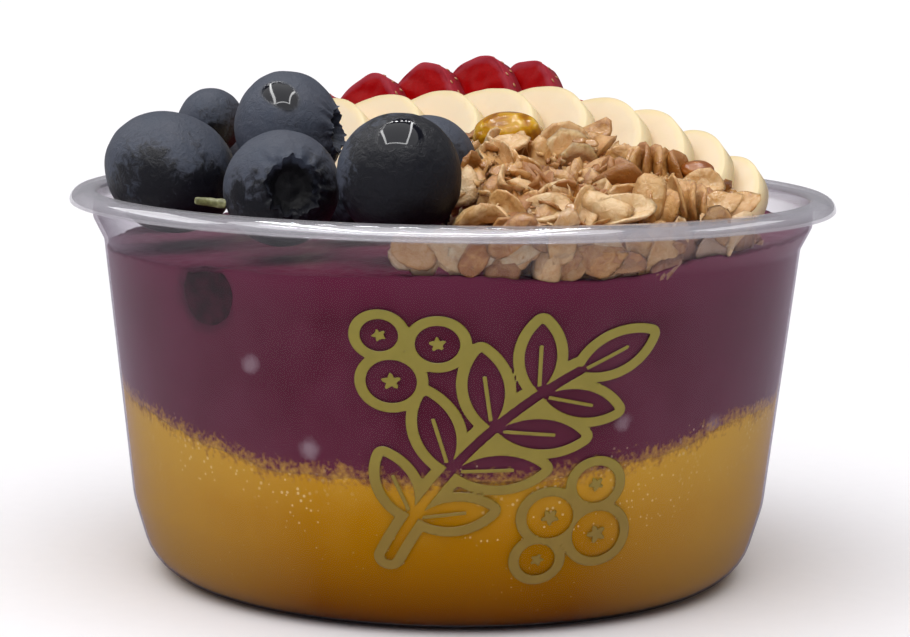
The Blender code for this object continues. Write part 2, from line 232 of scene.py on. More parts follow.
def meeting_line():
    """Height of the line between mango and acai: level round the back, with a wide dip at the front, and
    uneven by under a millimetre."""
    dip = np.exp(-np.abs((from_front + 6) / 50) ** 3)
    ring = 52 * np.stack([np.cos(around), np.sin(around), 0 * around], -1)
    return 30 - 6.6 * dip + 0.40 * ripple(ring, 26, 3) + 0.20 * ripple(ring, 7, 4) + 0.12 * ripple(ring, 2.8, 8)

meet = meeting_line()
start = int(np.argmax(outer[:, 1] > 12))
foot_inner = outer + PRESSED_IN * np.stack([-along[:, 1], along[:, 0]], -1)
foot_inner[0, 0] = 0.0
foot_rows = turned(foot_inner[:start], FILL_COLUMNS)
low = foot_inner[start - 1, 1]
side_rows = np.stack([on_wall(low + (meet - low) * part) for part in np.linspace(0, 1, 60)[1:]])
edge = side_rows[-1]
under = [edge * (part, part, 1) - (0, 0, 1.5 * (1 - part)) for part in (0.98, 0.8, 0.5, 0.0)]
mango_points = np.concatenate([foot_rows, side_rows, np.stack(under)])
mango = skin("mango_filling", mango_points, {"over_line": mango_points[..., 2] - meet})

# Mango puree behind the wall: deep golden, paler and cloudier where frost sits against the plastic. Its colour runs
# from dark brown at the foot to pale gold at the top, and the frost clouds thin out downwards: that darkening towards
# the foot is painted shade, where the heel turns down away from the light.
mango_finish, tree, mm = new_finish("frozen mango puree")
height = node(tree, "ShaderNodeSeparateXYZ", {0: mm}).outputs[2]
over_line = node(tree, "ShaderNodeAttribute", attribute_name="over_line").outputs["Fac"]
depth = node(tree, "ShaderNodeMapRange", {0: height, 1: 0.0, 2: 28.0, 3: 0.0, 4: 1.0}).outputs[0]
# Painted shade: this ramp darkens the puree towards the foot of the bowl.
body = node(tree, "ShaderNodeValToRGB", {0: depth}, stops=[
    (0.0, "#562800"), (0.12, "#764200"), (0.34, "#9a6400"), (0.62, "#b07800"), (1.0, "#d6a232")])
cloud = node(tree, "ShaderNodeTexNoise", {"Vector": mm, "Scale": 1 / 7, "Detail": 5.0, "Roughness": 0.6})
cloudy = node(tree, "ShaderNodeMath", {0: cloud.outputs[0], 1: depth}, operation="MULTIPLY").outputs[0]
cloudy = node(tree, "ShaderNodeMapRange", {0: cloudy, 1: 0.24, 2: 0.66, 3: 0.0, 4: 0.4}).outputs[0]
milky = node(tree, "ShaderNodeMix", {0: cloudy, 6: body.outputs[0], 7: linear("#d2a23c")}, data_type="RGBA")
bubble = node(tree, "ShaderNodeTexVoronoi", {"Vector": mm, "Scale": 1 / 1.05, "Randomness": 1.0})
close = node(tree, "ShaderNodeMapRange", {0: over_line, 1: -13.0, 2: -0.5, 3: 0.09, 4: 0.27}).outputs[0]
speck = node(tree, "ShaderNodeMath", {0: bubble.outputs["Distance"], 1: close}, operation="LESS_THAN").outputs[0]
where = node(tree, "ShaderNodeTexNoise", {"Vector": mm, "Scale": 1 / 9, "Detail": 2.0}).outputs[0]
some = node(tree, "ShaderNodeMapRange", {0: where, 1: 0.38, 2: 0.60, 3: 0.0, 4: 0.6}).outputs[0]
frosted = node(tree, "ShaderNodeMath", {0: speck, 1: some}, operation="MULTIPLY").outputs[0]
speckled = node(tree, "ShaderNodeMix", {0: frosted, 6: milky.outputs[2], 7: linear("#ecd498")},
                data_type="RGBA").outputs[2]


def blend_line(tree, mm, over_line):
    """How much acai shows, 0 to 1, near the line where the two purees have run into each other."""
    coarse = node(tree, "ShaderNodeTexNoise", {"Vector": mm, "Scale": 1 / 3.4, "Detail": 3.0,
                                               "Roughness": 0.6}).outputs[0]
    grains = node(tree, "ShaderNodeTexNoise", {"Vector": mm, "Scale": 1 / 0.7, "Detail": 3.0}).outputs[0]
    shift = node(tree, "ShaderNodeMath", {0: coarse, 1: 4.0, 2: over_line}, operation="MULTIPLY_ADD").outputs[0]
    shift = node(tree, "ShaderNodeMath", {0: grains, 1: 5.0, 2: shift}, operation="MULTIPLY_ADD").outputs[0]
    return node(tree, "ShaderNodeMapRange", {0: shift, 1: 3.0, 2: 6.0, 3: 0.0, 4: 1.0}).outputs[0]




def painted_side_reflection(tree, mm, colour, pale, most):
    """The colour turned paler towards the left and right sides: a painted reflection of the pale room, which the wall
    shows more where it is seen at a slant.
    """
    across = node(tree, "ShaderNodeSeparateXYZ", {0: mm}).outputs[0]
    across = node(tree, "ShaderNodeMath", {0: across}, operation="ABSOLUTE").outputs[0]
    share = node(tree, "ShaderNodeMapRange", {0: across, 1: 18.0, 2: 47.0, 3: 0.0, 4: most}).outputs[0]
    return node(tree, "ShaderNodeMix", {0: share, 6: colour, 7: linear(pale)}, data_type="RGBA").outputs[2]


# Painted reflection: the mango turns paler towards its left and right sides.
speckled = painted_side_reflection(tree, mm, speckled, "#d2ac58", 0.55)
acai_share = blend_line(tree, mm, over_line)
colour = node(tree, "ShaderNodeMix", {0: acai_share, 6: speckled, 7: linear("#66303f")},
              data_type="RGBA").outputs[2]
relief = node(tree, "ShaderNodeBump", {"Height": cloud.outputs[0], "Strength": 0.3, "Distance": 0.3 * MM})
puree = node(tree, "ShaderNodeBsdfPrincipled",
             {"Base Color": colour, "Roughness": 0.55, "Normal": relief.outputs[0],
              "Specular IOR Level": 0.0})
node(tree, "ShaderNodeOutputMaterial", {0: puree.outputs[0]})
mango.data.materials.append(mango_finish)
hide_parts("mango_layer")
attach(mango, "root")

# ---------------------------------------------------------------- the acai layer
# Half-frozen acai puree, scooped on the mango and levelled with a spoon. Its side clings to the wall
# with pale frost along its lower edge, and its top is smoothed in soft strokes, pressed down a little
# where the granola lies.
def acai_top(x, y):
    """Height of the acai: a crowned plane, tilted up to the right, pressed in at the front under the
    granola, with spoon strokes and small lumps."""
    out = np.hypot(x, y) / 54.2
    pressed = np.exp(-((x - 20) ** 2 + (y + 50) ** 2) / 13 ** 2)
    level = 53.2 + 0.040 * x + 0.007 * y + 0.9 * (1 - out ** 2) - 2.0 * pressed
    here = np.stack([x, y, 0 * x], -1)
    strokes = ripple(here * (0.45, 1.0, 1.0), 9, 21)
    return level + 0.22 * strokes + 0.12 * ripple(here, 3.2, 22)

top = np.full(FILL_COLUMNS, 53.0)
for _ in range(6):
    ring = on_wall(top, 0.45)
    top = acai_top(ring[:, 0], ring[:, 1])
foot = on_wall(meet - 0.35, PRESSED_IN - 0.02)
base = [foot * (part, part, 1) - (0, 0, 1.5 * (1 - part)) for part in (0.0, 0.5, 0.8, 0.98)]
sides = [on_wall(meet - 0.35 + (top - meet + 0.35) * part, PRESSED_IN - 0.02) for part in np.linspace(0, 1, 58)]
rim_ring = on_wall(top, 1.1)

lid = []
for part in np.cos(np.linspace(0.0, math.pi / 2, 60)) ** 0.8:
    x, y = rim_ring[:, 0] * part, rim_ring[:, 1] * part
    lid.append(np.stack([x, y, acai_top(x, y)], -1))
acai_points = np.stack(base + sides + lid)


def close_to(points, spots):
    """Sum of soft round patches on the wall, each from (degrees from the front, height, size)."""
    total = 0.0
    for degrees, height, size in spots:
        angle = math.radians(degrees - 90)
        radius = wall_radius(height)
        spot = np.array([radius * math.cos(angle), radius * math.sin(angle), height])
        total = total + np.exp(-(np.linalg.norm(points - spot, axis=-1) / size) ** 2)
    return total


acai = skin("acai_filling", acai_points, {
    "over_line": acai_points[..., 2] - meet,
    "berry": close_to(acai_points, [(-41.5, 48.0, 6.4)]),
    "smudge": close_to(acai_points, [(-32.7, 38.5, 1.7), (-22.7, 27.0, 1.8), (28.3, 31.2, 1.5),
                                     (48.4, 29.0, 2.0)])})

# Acai puree: dark purple brown, dull where it is frosty, redder where it thins towards the top edge.
acai_finish, tree, mm = new_finish("frozen acai puree")
height = node(tree, "ShaderNodeSeparateXYZ", {0: mm}).outputs[2]
over_line = node(tree, "ShaderNodeAttribute", attribute_name="over_line").outputs["Fac"]
depth = node(tree, "ShaderNodeMapRange", {0: height, 1: 22.0, 2: 54.0, 3: 0.0, 4: 1.0}).outputs[0]
body = node(tree, "ShaderNodeValToRGB", {0: depth}, stops=[
    (0.0, "#5f2438"), (0.35, "#561c30"), (0.75, "#52182b"), (0.93, "#6a2440"), (1.0, "#762c48")])
patch = node(tree, "ShaderNodeTexNoise", {"Vector": mm, "Scale": 1 / 11, "Detail": 4.0, "Roughness": 0.55})
patchy = node(tree, "ShaderNodeMapRange", {0: patch.outputs[0], 1: 0.35, 2: 0.7, 3: 0.0, 4: 0.55}).outputs[0]
milky = node(tree, "ShaderNodeMix", {0: patchy, 6: body.outputs[0], 7: linear("#6b3348")}, data_type="RGBA")
berry_mark = node(tree, "ShaderNodeAttribute", attribute_name="berry").outputs["Fac"]
smudge = node(tree, "ShaderNodeAttribute", attribute_name="smudge").outputs["Fac"]
blot = node(tree, "ShaderNodeTexNoise", {"Vector": mm, "Scale": 1 / 2.2, "Detail": 5.0,
                                         "Roughness": 0.7}).outputs[0]
stain = node(tree, "ShaderNodeMath", {0: blot, 1: 0.6, 2: berry_mark}, operation="MULTIPLY_ADD").outputs[0]
stain = node(tree, "ShaderNodeMapRange", {0: stain, 1: 0.66, 2: 0.98, 3: 0.0, 4: 0.9}).outputs[0]
stained = node(tree, "ShaderNodeMix", {0: stain, 6: milky.outputs[2], 7: linear("#26181d")},
               data_type="RGBA").outputs[2]
pale = node(tree, "ShaderNodeMath", {0: blot, 1: 0.9, 2: smudge}, operation="MULTIPLY_ADD").outputs[0]
pale = node(tree, "ShaderNodeMapRange", {0: pale, 1: 0.75, 2: 1.35, 3: 0.0, 4: 0.6}).outputs[0]
smudged = node(tree, "ShaderNodeMix", {0: pale, 6: stained, 7: linear("#a5909a")}, data_type="RGBA").outputs[2]
bubble = node(tree, "ShaderNodeTexVoronoi", {"Vector": mm, "Scale": 1 / 1.2, "Randomness": 1.0})
close = node(tree, "ShaderNodeMapRange", {0: over_line, 1: 0.0, 2: 4.5, 3: 0.26, 4: 0.0}).outputs[0]
speck = node(tree, "ShaderNodeMath", {0: bubble.outputs["Distance"], 1: close}, operation="LESS_THAN").outputs[0]
where = node(tree, "ShaderNodeTexNoise", {"Vector": mm, "Scale": 1 / 9, "Detail": 2.0}).outputs[0]
some = node(tree, "ShaderNodeMapRange", {0: where, 1: 0.42, 2: 0.62, 3: 0.0, 4: 0.6}).outputs[0]
frosted = node(tree, "ShaderNodeMath", {0: speck, 1: some}, operation="MULTIPLY").outputs[0]
speckled = node(tree, "ShaderNodeMix", {0: frosted, 6: smudged, 7: linear("#c9aa92")},
                data_type="RGBA").outputs[2]
# Painted reflection: the acai turns paler towards its left and right sides.
speckled = painted_side_reflection(tree, mm, speckled, "#765060", 0.45)
acai_share = blend_line(tree, mm, over_line)
colour = node(tree, "ShaderNodeMix", {0: acai_share, 6: linear("#c89a42"), 7: speckled},
              data_type="RGBA").outputs[2]
relief = node(tree, "ShaderNodeBump", {"Height": patch.outputs[0], "Strength": 0.4, "Distance": 0.4 * MM})
puree = node(tree, "ShaderNodeBsdfPrincipled",
             {"Base Color": colour, "Roughness": 0.45, "Normal": relief.outputs[0],
              "Specular IOR Level": 0.05})
node(tree, "ShaderNodeOutputMaterial", {0: puree.outputs[0]})
acai.data.materials.append(acai_finish)
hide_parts("acai_layer")
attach(acai, "root")


# ---------------------------------------------------------------- the printed sprig
# One colour of ink, screen printed on the wall's outside: leaves on a curved stalk and two bunches of
# berries, all left clear, with a thick outline of ink round them. The ink is a bit see-through.
def leaf(u, v, place, heading, length, width):
    """Distance to a leaf's edge, less than 0 inside: two arcs that meet in a tip at each end. Also the
    distance to its midrib."""
    turn = math.radians(heading)
    along = (u - place[0]) * math.cos(turn) + (v - place[1]) * math.sin(turn)
    across = (v - place[1]) * math.cos(turn) - (u - place[0]) * math.sin(turn)
    bend = (length ** 2 + width ** 2) / (2 * width)
    off = bend - width
    p, q = np.abs(across), np.abs(along)
    tip = (q - length) * off > p * length
    distance = np.where(tip, np.hypot(p, q - length), np.hypot(p + off, q) - bend)
    rib = np.maximum(np.abs(across) - 0.28, np.abs(along + 0.25 * length) - 0.6 * length)
    return distance, rib


def ink_distance(u, v):
    """Distance to the ink's edge, less than 0 where there is ink: a band round all the motifs, and the
    ribs of the leaves and the crowns of the berries inside them."""
    motifs, marks = [], []
    start, bend, end = np.array([-15.0, -18.0]), np.array([-5.0, 3.0]), np.array([11.0, 12.5])
    stalk = np.full(u.shape, 99.0)
    for t in np.linspace(0, 1, 60):
        x, y = (1 - t) ** 2 * start + 2 * t * (1 - t) * bend + t ** 2 * end
        stalk = np.minimum(stalk, np.hypot(u - x, v - y) - 0.75)
    motifs.append(stalk)
    for t, length in ((0.16, 5.2), (0.38, 6.2), (0.60, 6.2), (0.82, 5.6)):
        x, y = (1 - t) ** 2 * start + 2 * t * (1 - t) * bend + t ** 2 * end
        dx, dy = (1 - t) * (bend - start) + t * (end - bend)
        heading = math.degrees(math.atan2(dy, dx))
        for side in (-52, 52):
            way = math.radians(heading + side)
            place = (x + (length + 0.6) * math.cos(way), y + (length + 0.6) * math.sin(way))
            distance, rib = leaf(u, v, place, heading + side, length, 0.40 * length)
            motifs.append(distance)
            marks.append(rib)
    distance, rib = leaf(u, v, (16.4, 15.2), 28.0, 5.8, 2.4)
    motifs.append(distance)
    marks.append(rib)
    for x, y, radius in ((8.0, -11.5, 3.5), (14.8, -6.4, 3.1), (15.4, -14.8, 3.9), (6.4, -18.6, 2.7),
                         (-14.6, 10.8, 3.5), (-8.4, 17.0, 3.0), (-16.2, 18.2, 2.6)):
        out = np.hypot(u - x, v - y)
        turn = np.arctan2(v - y, u - x)
        motifs.append(out - radius)
        marks.append(out - 0.30 * radius * (1 + 0.35 * np.cos(5 * turn + x)))
    nearest = np.minimum.reduce(motifs)
    band = np.maximum(-nearest, nearest - 1.55)
    return np.minimum(band, np.maximum(np.minimum.reduce(marks), nearest))


def inked_faces(distance):
    """Triangles and quads that cover the ink, from a grid of distances. Each grid square is two
    triangles, and those that the edge crosses are cut along it. Returns the weights of the grid's points
    in each new point, as pairs of points and a share, and the faces."""
    rows, columns = distance.shape
    index = np.arange(rows * columns).reshape(rows, columns)
    a, b, c, d = index[:-1, :-1], index[:-1, 1:], index[1:, 1:], index[1:, :-1]
    corners = np.concatenate([np.stack([a, b, c], -1).reshape(-1, 3), np.stack([a, c, d], -1).reshape(-1, 3)])
    flat = distance.ravel()
    inside = flat[corners] < 0
    number = inside.sum(1)
    whole = corners[number == 3]

    def rolled(wanted, value):
        """Triangles with the given number of inside corners, turned so that the odd corner is first."""
        some, flags = corners[number == wanted], inside[number == wanted]
        first = np.argmax(flags == value, axis=1)
        return np.stack([some[np.arange(len(some)), (first + k) % 3] for k in range(3)], -1)

    one, two = rolled(1, True), rolled(2, False)
    tip = np.stack([one[:, [0, 0]], one[:, [0, 1]], one[:, [0, 2]]], 1)
    stub = np.stack([two[:, [0, 1]], two[:, [1, 1]], two[:, [2, 2]], two[:, [0, 2]]], 1)
    pairs = np.concatenate([np.stack([whole, whole], -1).reshape(-1, 2), tip.reshape(-1, 2),
                            stub.reshape(-1, 2)])
    pairs.sort(axis=1)
    unique, place = np.unique(pairs, axis=0, return_inverse=True)
    place = place.ravel()
    split = len(whole) * 3, len(whole) * 3 + len(tip) * 3
    faces = [place[:split[0]].reshape(-1, 3), place[split[0]:split[1]].reshape(-1, 3),
             place[split[1]:].reshape(-1, 4)]
    near, far = flat[unique[:, 0]], flat[unique[:, 1]]
    share = np.where(unique[:, 0] == unique[:, 1], 0.0, near / np.where(near == far, 1.0, near - far))
    return unique, share, faces


PRINT_MIDDLE = math.radians(7.5 - 90)
u, v = np.meshgrid(np.arange(-25.0, 25.01, 0.33), np.arange(-23.2, 23.21, 0.33))
pairs, share, faces = inked_faces(ink_distance(u, v))
grid = np.stack([u.ravel(), v.ravel()], -1)
flat = grid[pairs[:, 0]] * (1 - share)[:, None] + grid[pairs[:, 1]] * share[:, None]
height = 28.2 + 0.88 * flat[:, 1]
angle = PRINT_MIDDLE + flat[:, 0] / 50.8
radius = wall_radius(height) + 0.03
printed = mesh_piece("printed_sprig", np.stack([radius * np.cos(angle), radius * np.sin(angle), height], -1),
                     faces, {})
layer = printed.modifiers.new("ink film", "SOLIDIFY")
layer.thickness = 0.05 * MM
layer.offset = 1.0
ink_finish, tree, mm = new_finish("screen printed ink")
height = node(tree, "ShaderNodeSeparateXYZ", {0: mm}).outputs[2]
# The ink is olive at the top and golden ochre low down. This is partly painted shade, darker low on the wall where
# less light falls, and partly the mango and acai showing through the ink.
depth = node(tree, "ShaderNodeMapRange", {0: height, 1: 4.0, 2: 50.0, 3: 0.0, 4: 1.0}).outputs[0]
shade = node(tree, "ShaderNodeValToRGB", {0: depth}, stops=[
    (0.0, "#826406"), (0.35, "#866a0a"), (0.50, "#8b7a1e"), (1.0, "#8e8228")])
worn = node(tree, "ShaderNodeTexNoise", {"Vector": mm, "Scale": 1 / 3, "Detail": 4.0}).outputs[0]
cover = node(tree, "ShaderNodeMapRange", {0: worn, 1: 0.3, 2: 0.7, 3: 0.80, 4: 0.90}).outputs[0]
film = node(tree, "ShaderNodeBsdfPrincipled", {"Base Color": shade.outputs[0], "Roughness": 0.35})
through = node(tree, "ShaderNodeBsdfTransparent")
inked = node(tree, "ShaderNodeMixShader", {0: cover, 1: through.outputs[0], 2: film.outputs[0]})
node(tree, "ShaderNodeOutputMaterial", {0: inked.outputs[0]})
printed.data.materials.append(ink_finish)
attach(printed, "root")


# ---------------------------------------------------------------- the blueberry under the acai
# One berry went in with the scoop and ended up against the wall, flattened where it touches the plastic
# and veiled with a film of acai.
def towards(direction):
    """Turn whose +Z is the direction, as a 3 x 3 array."""
    return np.array(Vector(direction).to_track_quat("Z", "Y").to_matrix())


def berry_points(middle, radius, flat_way, crown, opening, torn, seed, columns=120):
    """A blueberry: a ball with shallow dents, flattened by an eighth along flat_way. Round the crown its
    skin rises into a collar of five lobes, drops inside it and ends in a shallow crater. torn is how
    ragged the collar is. Returns rows of points, and for each point its place from skin (0) over the
    collar's edge (1) to the crater's floor (2)."""
    foot = opening + 0.16
    drop = math.sqrt(1 - foot ** 2)
    body = np.linspace(0.0, math.pi - math.asin(foot), 52)
    skin_part = np.stack([np.sin(body), -np.cos(body)], -1)
    collar = rounded([(foot, drop), (opening + 0.05, drop + 0.05), (opening - 0.03, drop - 0.12),
                      (opening * 0.6, drop - 0.28), (0.0, drop - 0.24)], [0.03, 0.03, 0.08], 6)
    collar = finer(collar, 0.045)[1:]
    profile = np.vstack([skin_part, collar])
    stage = np.concatenate([np.zeros(52), np.linspace(0.25, 2.0, len(collar))])
    rows = turned(profile, columns)
    turn = np.arange(columns) * math.tau / columns
    circle = np.stack([np.cos(turn), np.sin(turn), 0 * turn], -1)
    ragged = ripple(circle, 0.5, seed + 1) + 0.6 * ripple(circle, 0.2, seed + 5)
    lobes = np.abs(np.cos(2.5 * turn + seed)) ** 0.7
    edge = np.exp(-((stage - 0.75) / 0.40) ** 2)[:, None] * (stage > 0)[:, None]
    near = np.exp(-((profile[:, 0] - foot) / 0.20) ** 2)[:, None] * (profile[:, 1] > 0)[:, None]
    rows[..., 2] += edge * (0.06 * lobes + 0.05 * torn * ragged) + 0.018 * near * ripple(3 * circle, 0.9, seed + 2)
    rows[..., :2] *= (1 + edge * (0.08 * lobes + 0.11 * torn * ragged))[..., None]
    dents = 0.012 * ripple(rows, 1.5, seed + 3) + 0.004 * ripple(rows, 0.45, seed + 4)
    inner = np.clip(stage - 1.0, 0, 1)[:, None]
    dents = dents + 0.03 * inner * ripple(rows, 0.25, seed + 6)
    rows = rows * (1 + dents)[..., None]
    rows[0], rows[-1] = rows[0, :1], rows[-1].mean(0)
    flat_way = np.array(flat_way) / np.linalg.norm(flat_way)
    squash = np.eye(3) - 0.12 * np.outer(flat_way, flat_way)
    return radius * rows @ (squash @ towards(crown)).T + middle, np.repeat(stage[:, None], columns, 1)


points, crown_stage = berry_points(np.array([-30.9, -36.7, 48.2]), 7.6, (0.3, 0.8, 0.5), (0.3, 0.8, 0.5), 0.3,
                                   0.3, 70)
reach = np.hypot(points[..., 0], points[..., 1])
held = np.minimum(1.0, (wall_radius(points[..., 2]) - PRESSED_IN + 0.06) / reach)
points[..., :2] *= held[..., None]
points[..., 2] = np.minimum(points[..., 2], acai_top(points[..., 0], points[..., 1]) - 0.5)
sunk_berry = skin("sunk_blueberry", points)
sunk_finish, tree, mm = new_finish("blueberry skin under an acai film")
film = node(tree, "ShaderNodeTexNoise", {"Vector": mm, "Scale": 1 / 2.4, "Detail": 5.0, "Roughness": 0.65})
veil = node(tree, "ShaderNodeMapRange", {0: film.outputs[0], 1: 0.40, 2: 0.72, 3: 0.0, 4: 1.0}).outputs[0]
colour = node(tree, "ShaderNodeMix", {0: veil, 6: linear("#24161b"), 7: linear("#4a2230")},
              data_type="RGBA").outputs[2]
skin_shader = node(tree, "ShaderNodeBsdfPrincipled", {"Base Color": colour, "Roughness": 0.6,
                                                      "Specular IOR Level": 0.2})
node(tree, "ShaderNodeOutputMaterial", {0: skin_shader.outputs[0]})
sunk_berry.data.materials.append(sunk_finish)
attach(sunk_berry, "root")


# ---------------------------------------------------------------- the blueberries
# Whole fresh berries, dropped on last but for the granola. Their dark skin wears a pale waxy bloom that is rubbed off
# in specks and patches, most of all underneath, and two berries are wet in places. The bare side is turned down on
# every berry, so its darkness is painted shade as well as rubbed-off bloom. For each: the way it's flattened, where
# its crown points, how wide and how torn the crown is, where the bloom is rubbed off and the shade painted and how far
# round, and where it's wet and how far round.
BERRIES = {
    "blueberry_left": ((0.42, -0.15, 0.90), (-0.2, 0.7, -0.6), 0.24, 0.4, (0.10, -0.50, -0.86), 0.10, None, 0),
    "blueberry_back_left": ((0.55, -0.30, -0.30), (-0.3, 0.9, 0.1), 0.26, 0.4, (0.45, -0.35, -0.82), 0.02,
                            None, 0),
    "blueberry_top": ((0.90, -0.25, 0.25), (0.93, -0.22, 0.05), 0.30, 0.9, (0.15, -0.60, -0.80), -0.36,
                      (-0.09, -0.76, 0.64), 0.36),
    "blueberry_front": ((0.40, -0.91, 0.03), (0.33, -0.94, 0.10), 0.42, 1.0, (0.20, -0.55, -0.80), 0.06,
                        None, 0),
    "blueberry_glossy": ((0.22, -0.96, 0.05), (0.55, 0.30, -0.78), 0.22, 0.7, (0.62, -0.74, -0.25), 0.40,
                         (0.02, -0.64, 0.77), 0.38),
    "blueberry_behind": ((0.70, -0.30, 0.45), (0.30, 0.90, 0.30), 0.34, 0.6, (0.3, -0.6, -0.75), -0.15,
                         None, 0),
    "blueberry_under_a": ((0.30, 0.60, 0.70), (0.30, 0.60, 0.70), 0.30, 0.5, (0, -0.3, -0.9), 0.1, None, 0),
    "blueberry_under_b": ((-0.20, 0.50, 0.80), (-0.20, 0.50, 0.80), 0.28, 0.5, (0, 0, -1), 0.1, None, 0),
    "blueberry_side": ((-0.55, 0.20, 0.80), (-0.55, 0.20, 0.80), 0.34, 0.6, (-0.5, 0, -0.8), 0.0, None, 0),
    "blueberry_back_a": ((-0.60, 0.55, 0.55), (-0.60, 0.55, 0.55), 0.30, 0.6, (-0.3, 0.3, -0.8), 0.05,
                         None, 0),
    "blueberry_back_b": ((-0.20, 0.90, 0.35), (-0.20, 0.90, 0.35), 0.36, 0.7, (0.2, 0.2, -0.9), -0.1, None, 0),
    "blueberry_back_c": ((0.15, 0.75, 0.65), (0.15, 0.75, 0.65), 0.33, 0.6, (0.2, 0.6, -0.7), 0.05, None, 0),
}

berry_finish, tree, mm = new_finish("blueberry skin with bloom")
crown = node(tree, "ShaderNodeAttribute", attribute_name="crown").outputs["Fac"]
rubbed_and_shaded = node(tree, "ShaderNodeAttribute", attribute_name="rubbed_and_shaded").outputs["Fac"]
wet = node(tree, "ShaderNodeAttribute", attribute_name="wet").outputs["Fac"]
cloud = node(tree, "ShaderNodeTexNoise", {"Vector": mm, "Scale": 1 / 5, "Detail": 4.0,
                                          "Roughness": 0.6}).outputs[0]
fine = node(tree, "ShaderNodeTexNoise", {"Vector": mm, "Scale": 1 / 1.3, "Detail": 6.0, "Roughness": 0.65,
                                         "Distortion": 0.8}).outputs[0]
# Where the bloom is off, the dark skin shows. This side is turned down on every berry, so the darkness there is
# painted shade as well as bare skin.
worn = node(tree, "ShaderNodeMath", {0: cloud, 1: 0.9, 2: rubbed_and_shaded}, operation="MULTIPLY_ADD").outputs[0]
worn = node(tree, "ShaderNodeMath", {0: fine, 1: 1.1, 2: worn}, operation="MULTIPLY_ADD").outputs[0]
bare_and_shaded = node(tree, "ShaderNodeMapRange", {0: worn, 1: 1.06, 2: 1.34, 3: 0.0, 4: 1.0}).outputs[0]
bare_shaded_or_wet = node(tree, "ShaderNodeMath", {0: bare_and_shaded, 1: wet}, operation="MAXIMUM").outputs[0]
bloom = node(tree, "ShaderNodeMix", {0: cloud, 6: linear("#353f4f"), 7: linear("#50515b")},
             data_type="RGBA").outputs[2]
skin_colour = node(tree, "ShaderNodeMix", {0: bare_shaded_or_wet, 6: bloom, 7: linear("#0e0f17")},
                   data_type="RGBA").outputs[2]
inside = node(tree, "ShaderNodeMapRange", {0: crown, 1: 0.8, 2: 1.3, 3: 0.0, 4: 0.97}).outputs[0]
colour = node(tree, "ShaderNodeMix", {0: inside, 6: skin_colour, 7: linear("#08070a")},
              data_type="RGBA").outputs[2]
rough = node(tree, "ShaderNodeMapRange", {0: bare_and_shaded, 1: 0.0, 2: 1.0, 3: 0.60, 4: 0.42}).outputs[0]
finish_rough = node(tree, "ShaderNodeMix", {0: wet, 2: rough, 3: 0.05}, data_type="FLOAT").outputs[0]
dry = node(tree, "ShaderNodeMath", {0: 1.0, 1: wet}, operation="SUBTRACT").outputs[0]
relief = node(tree, "ShaderNodeBump", {"Height": fine, "Strength": dry, "Distance": 0.25 * MM})
berry_shader = node(tree, "ShaderNodeBsdfPrincipled", {
    "Base Color": colour, "Roughness": finish_rough, "Normal": relief.outputs[0],
    "Specular IOR Level": 0.2})
node(tree, "ShaderNodeOutputMaterial", {0: berry_shader.outputs[0]})

berry_places = []
for seed, (name, look) in enumerate(BERRIES.items(), 1):
    flat_way, crown_way, opening, torn, rub_and_shade_way, rub_and_shade, wet_way, wetness = look
    low, high = (np.array(corner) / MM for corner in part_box(name))
    middle = (low + high) / 2
    flat_share = flat_way[0] / np.linalg.norm(flat_way)
    radius = (high - low)[0] / 2 / math.sqrt(1 - 0.2256 * flat_share ** 2) * 1.012
    berry_places.append((middle, radius))
    points, crown_stage = berry_points(middle, radius, flat_way, crown_way, opening, torn, 10 * seed)
    out = (points - middle) / radius
    # The bare side points down on each berry: rubbed-off bloom and painted shade.
    worn = 0.65 * out @ np.array(rub_and_shade_way) / np.linalg.norm(rub_and_shade_way) + rub_and_shade + 0.10 * ripple(out, 0.9, seed)
    crown_unit = np.array(crown_way) / np.linalg.norm(crown_way)
    worn = worn + 0.35 * torn * np.clip((out @ crown_unit - 0.72) * 5, 0, 1)
    wet_patch = 0 * worn
    if wet_way:
        wet_unit = np.array(wet_way) / np.linalg.norm(wet_way)
        off = np.arccos(np.clip(out @ wet_unit / np.linalg.norm(out, axis=-1), -1, 1))
        wet_patch = np.clip((wetness + 0.07 * ripple(out, 0.7, seed + 8) - off) * 14, 0, 1)
    berry = skin(name + "_skin", points, {"crown": crown_stage, "rubbed_and_shaded": worn, "wet": wet_patch})
    berry.data.materials.append(berry_finish)
    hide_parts(name)
    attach(berry, "root")


# ---------------------------------------------------------------- the banana slices
# A ripe banana, peeled and cut across, the slices fanned out in a row. The flesh is creamy, yellower at
# the skin side, with three faint lobes and tiny seeds round the middle.
def leaning(turn, lean):
    """Turn of a slice whose own +Z, its face, looks to the front and left and leans back, and whose own
    +Y runs up the slice, as a 3 x 3 array."""
    turn, lean = math.radians(turn), math.radians(lean)
    across = np.array([math.cos(turn), -math.sin(turn), 0.0])
    face = np.array([-math.sin(turn) * math.cos(lean), -math.cos(turn) * math.cos(lean), math.sin(lean)])
    return np.stack([across, np.cross(face, across), face], -1)


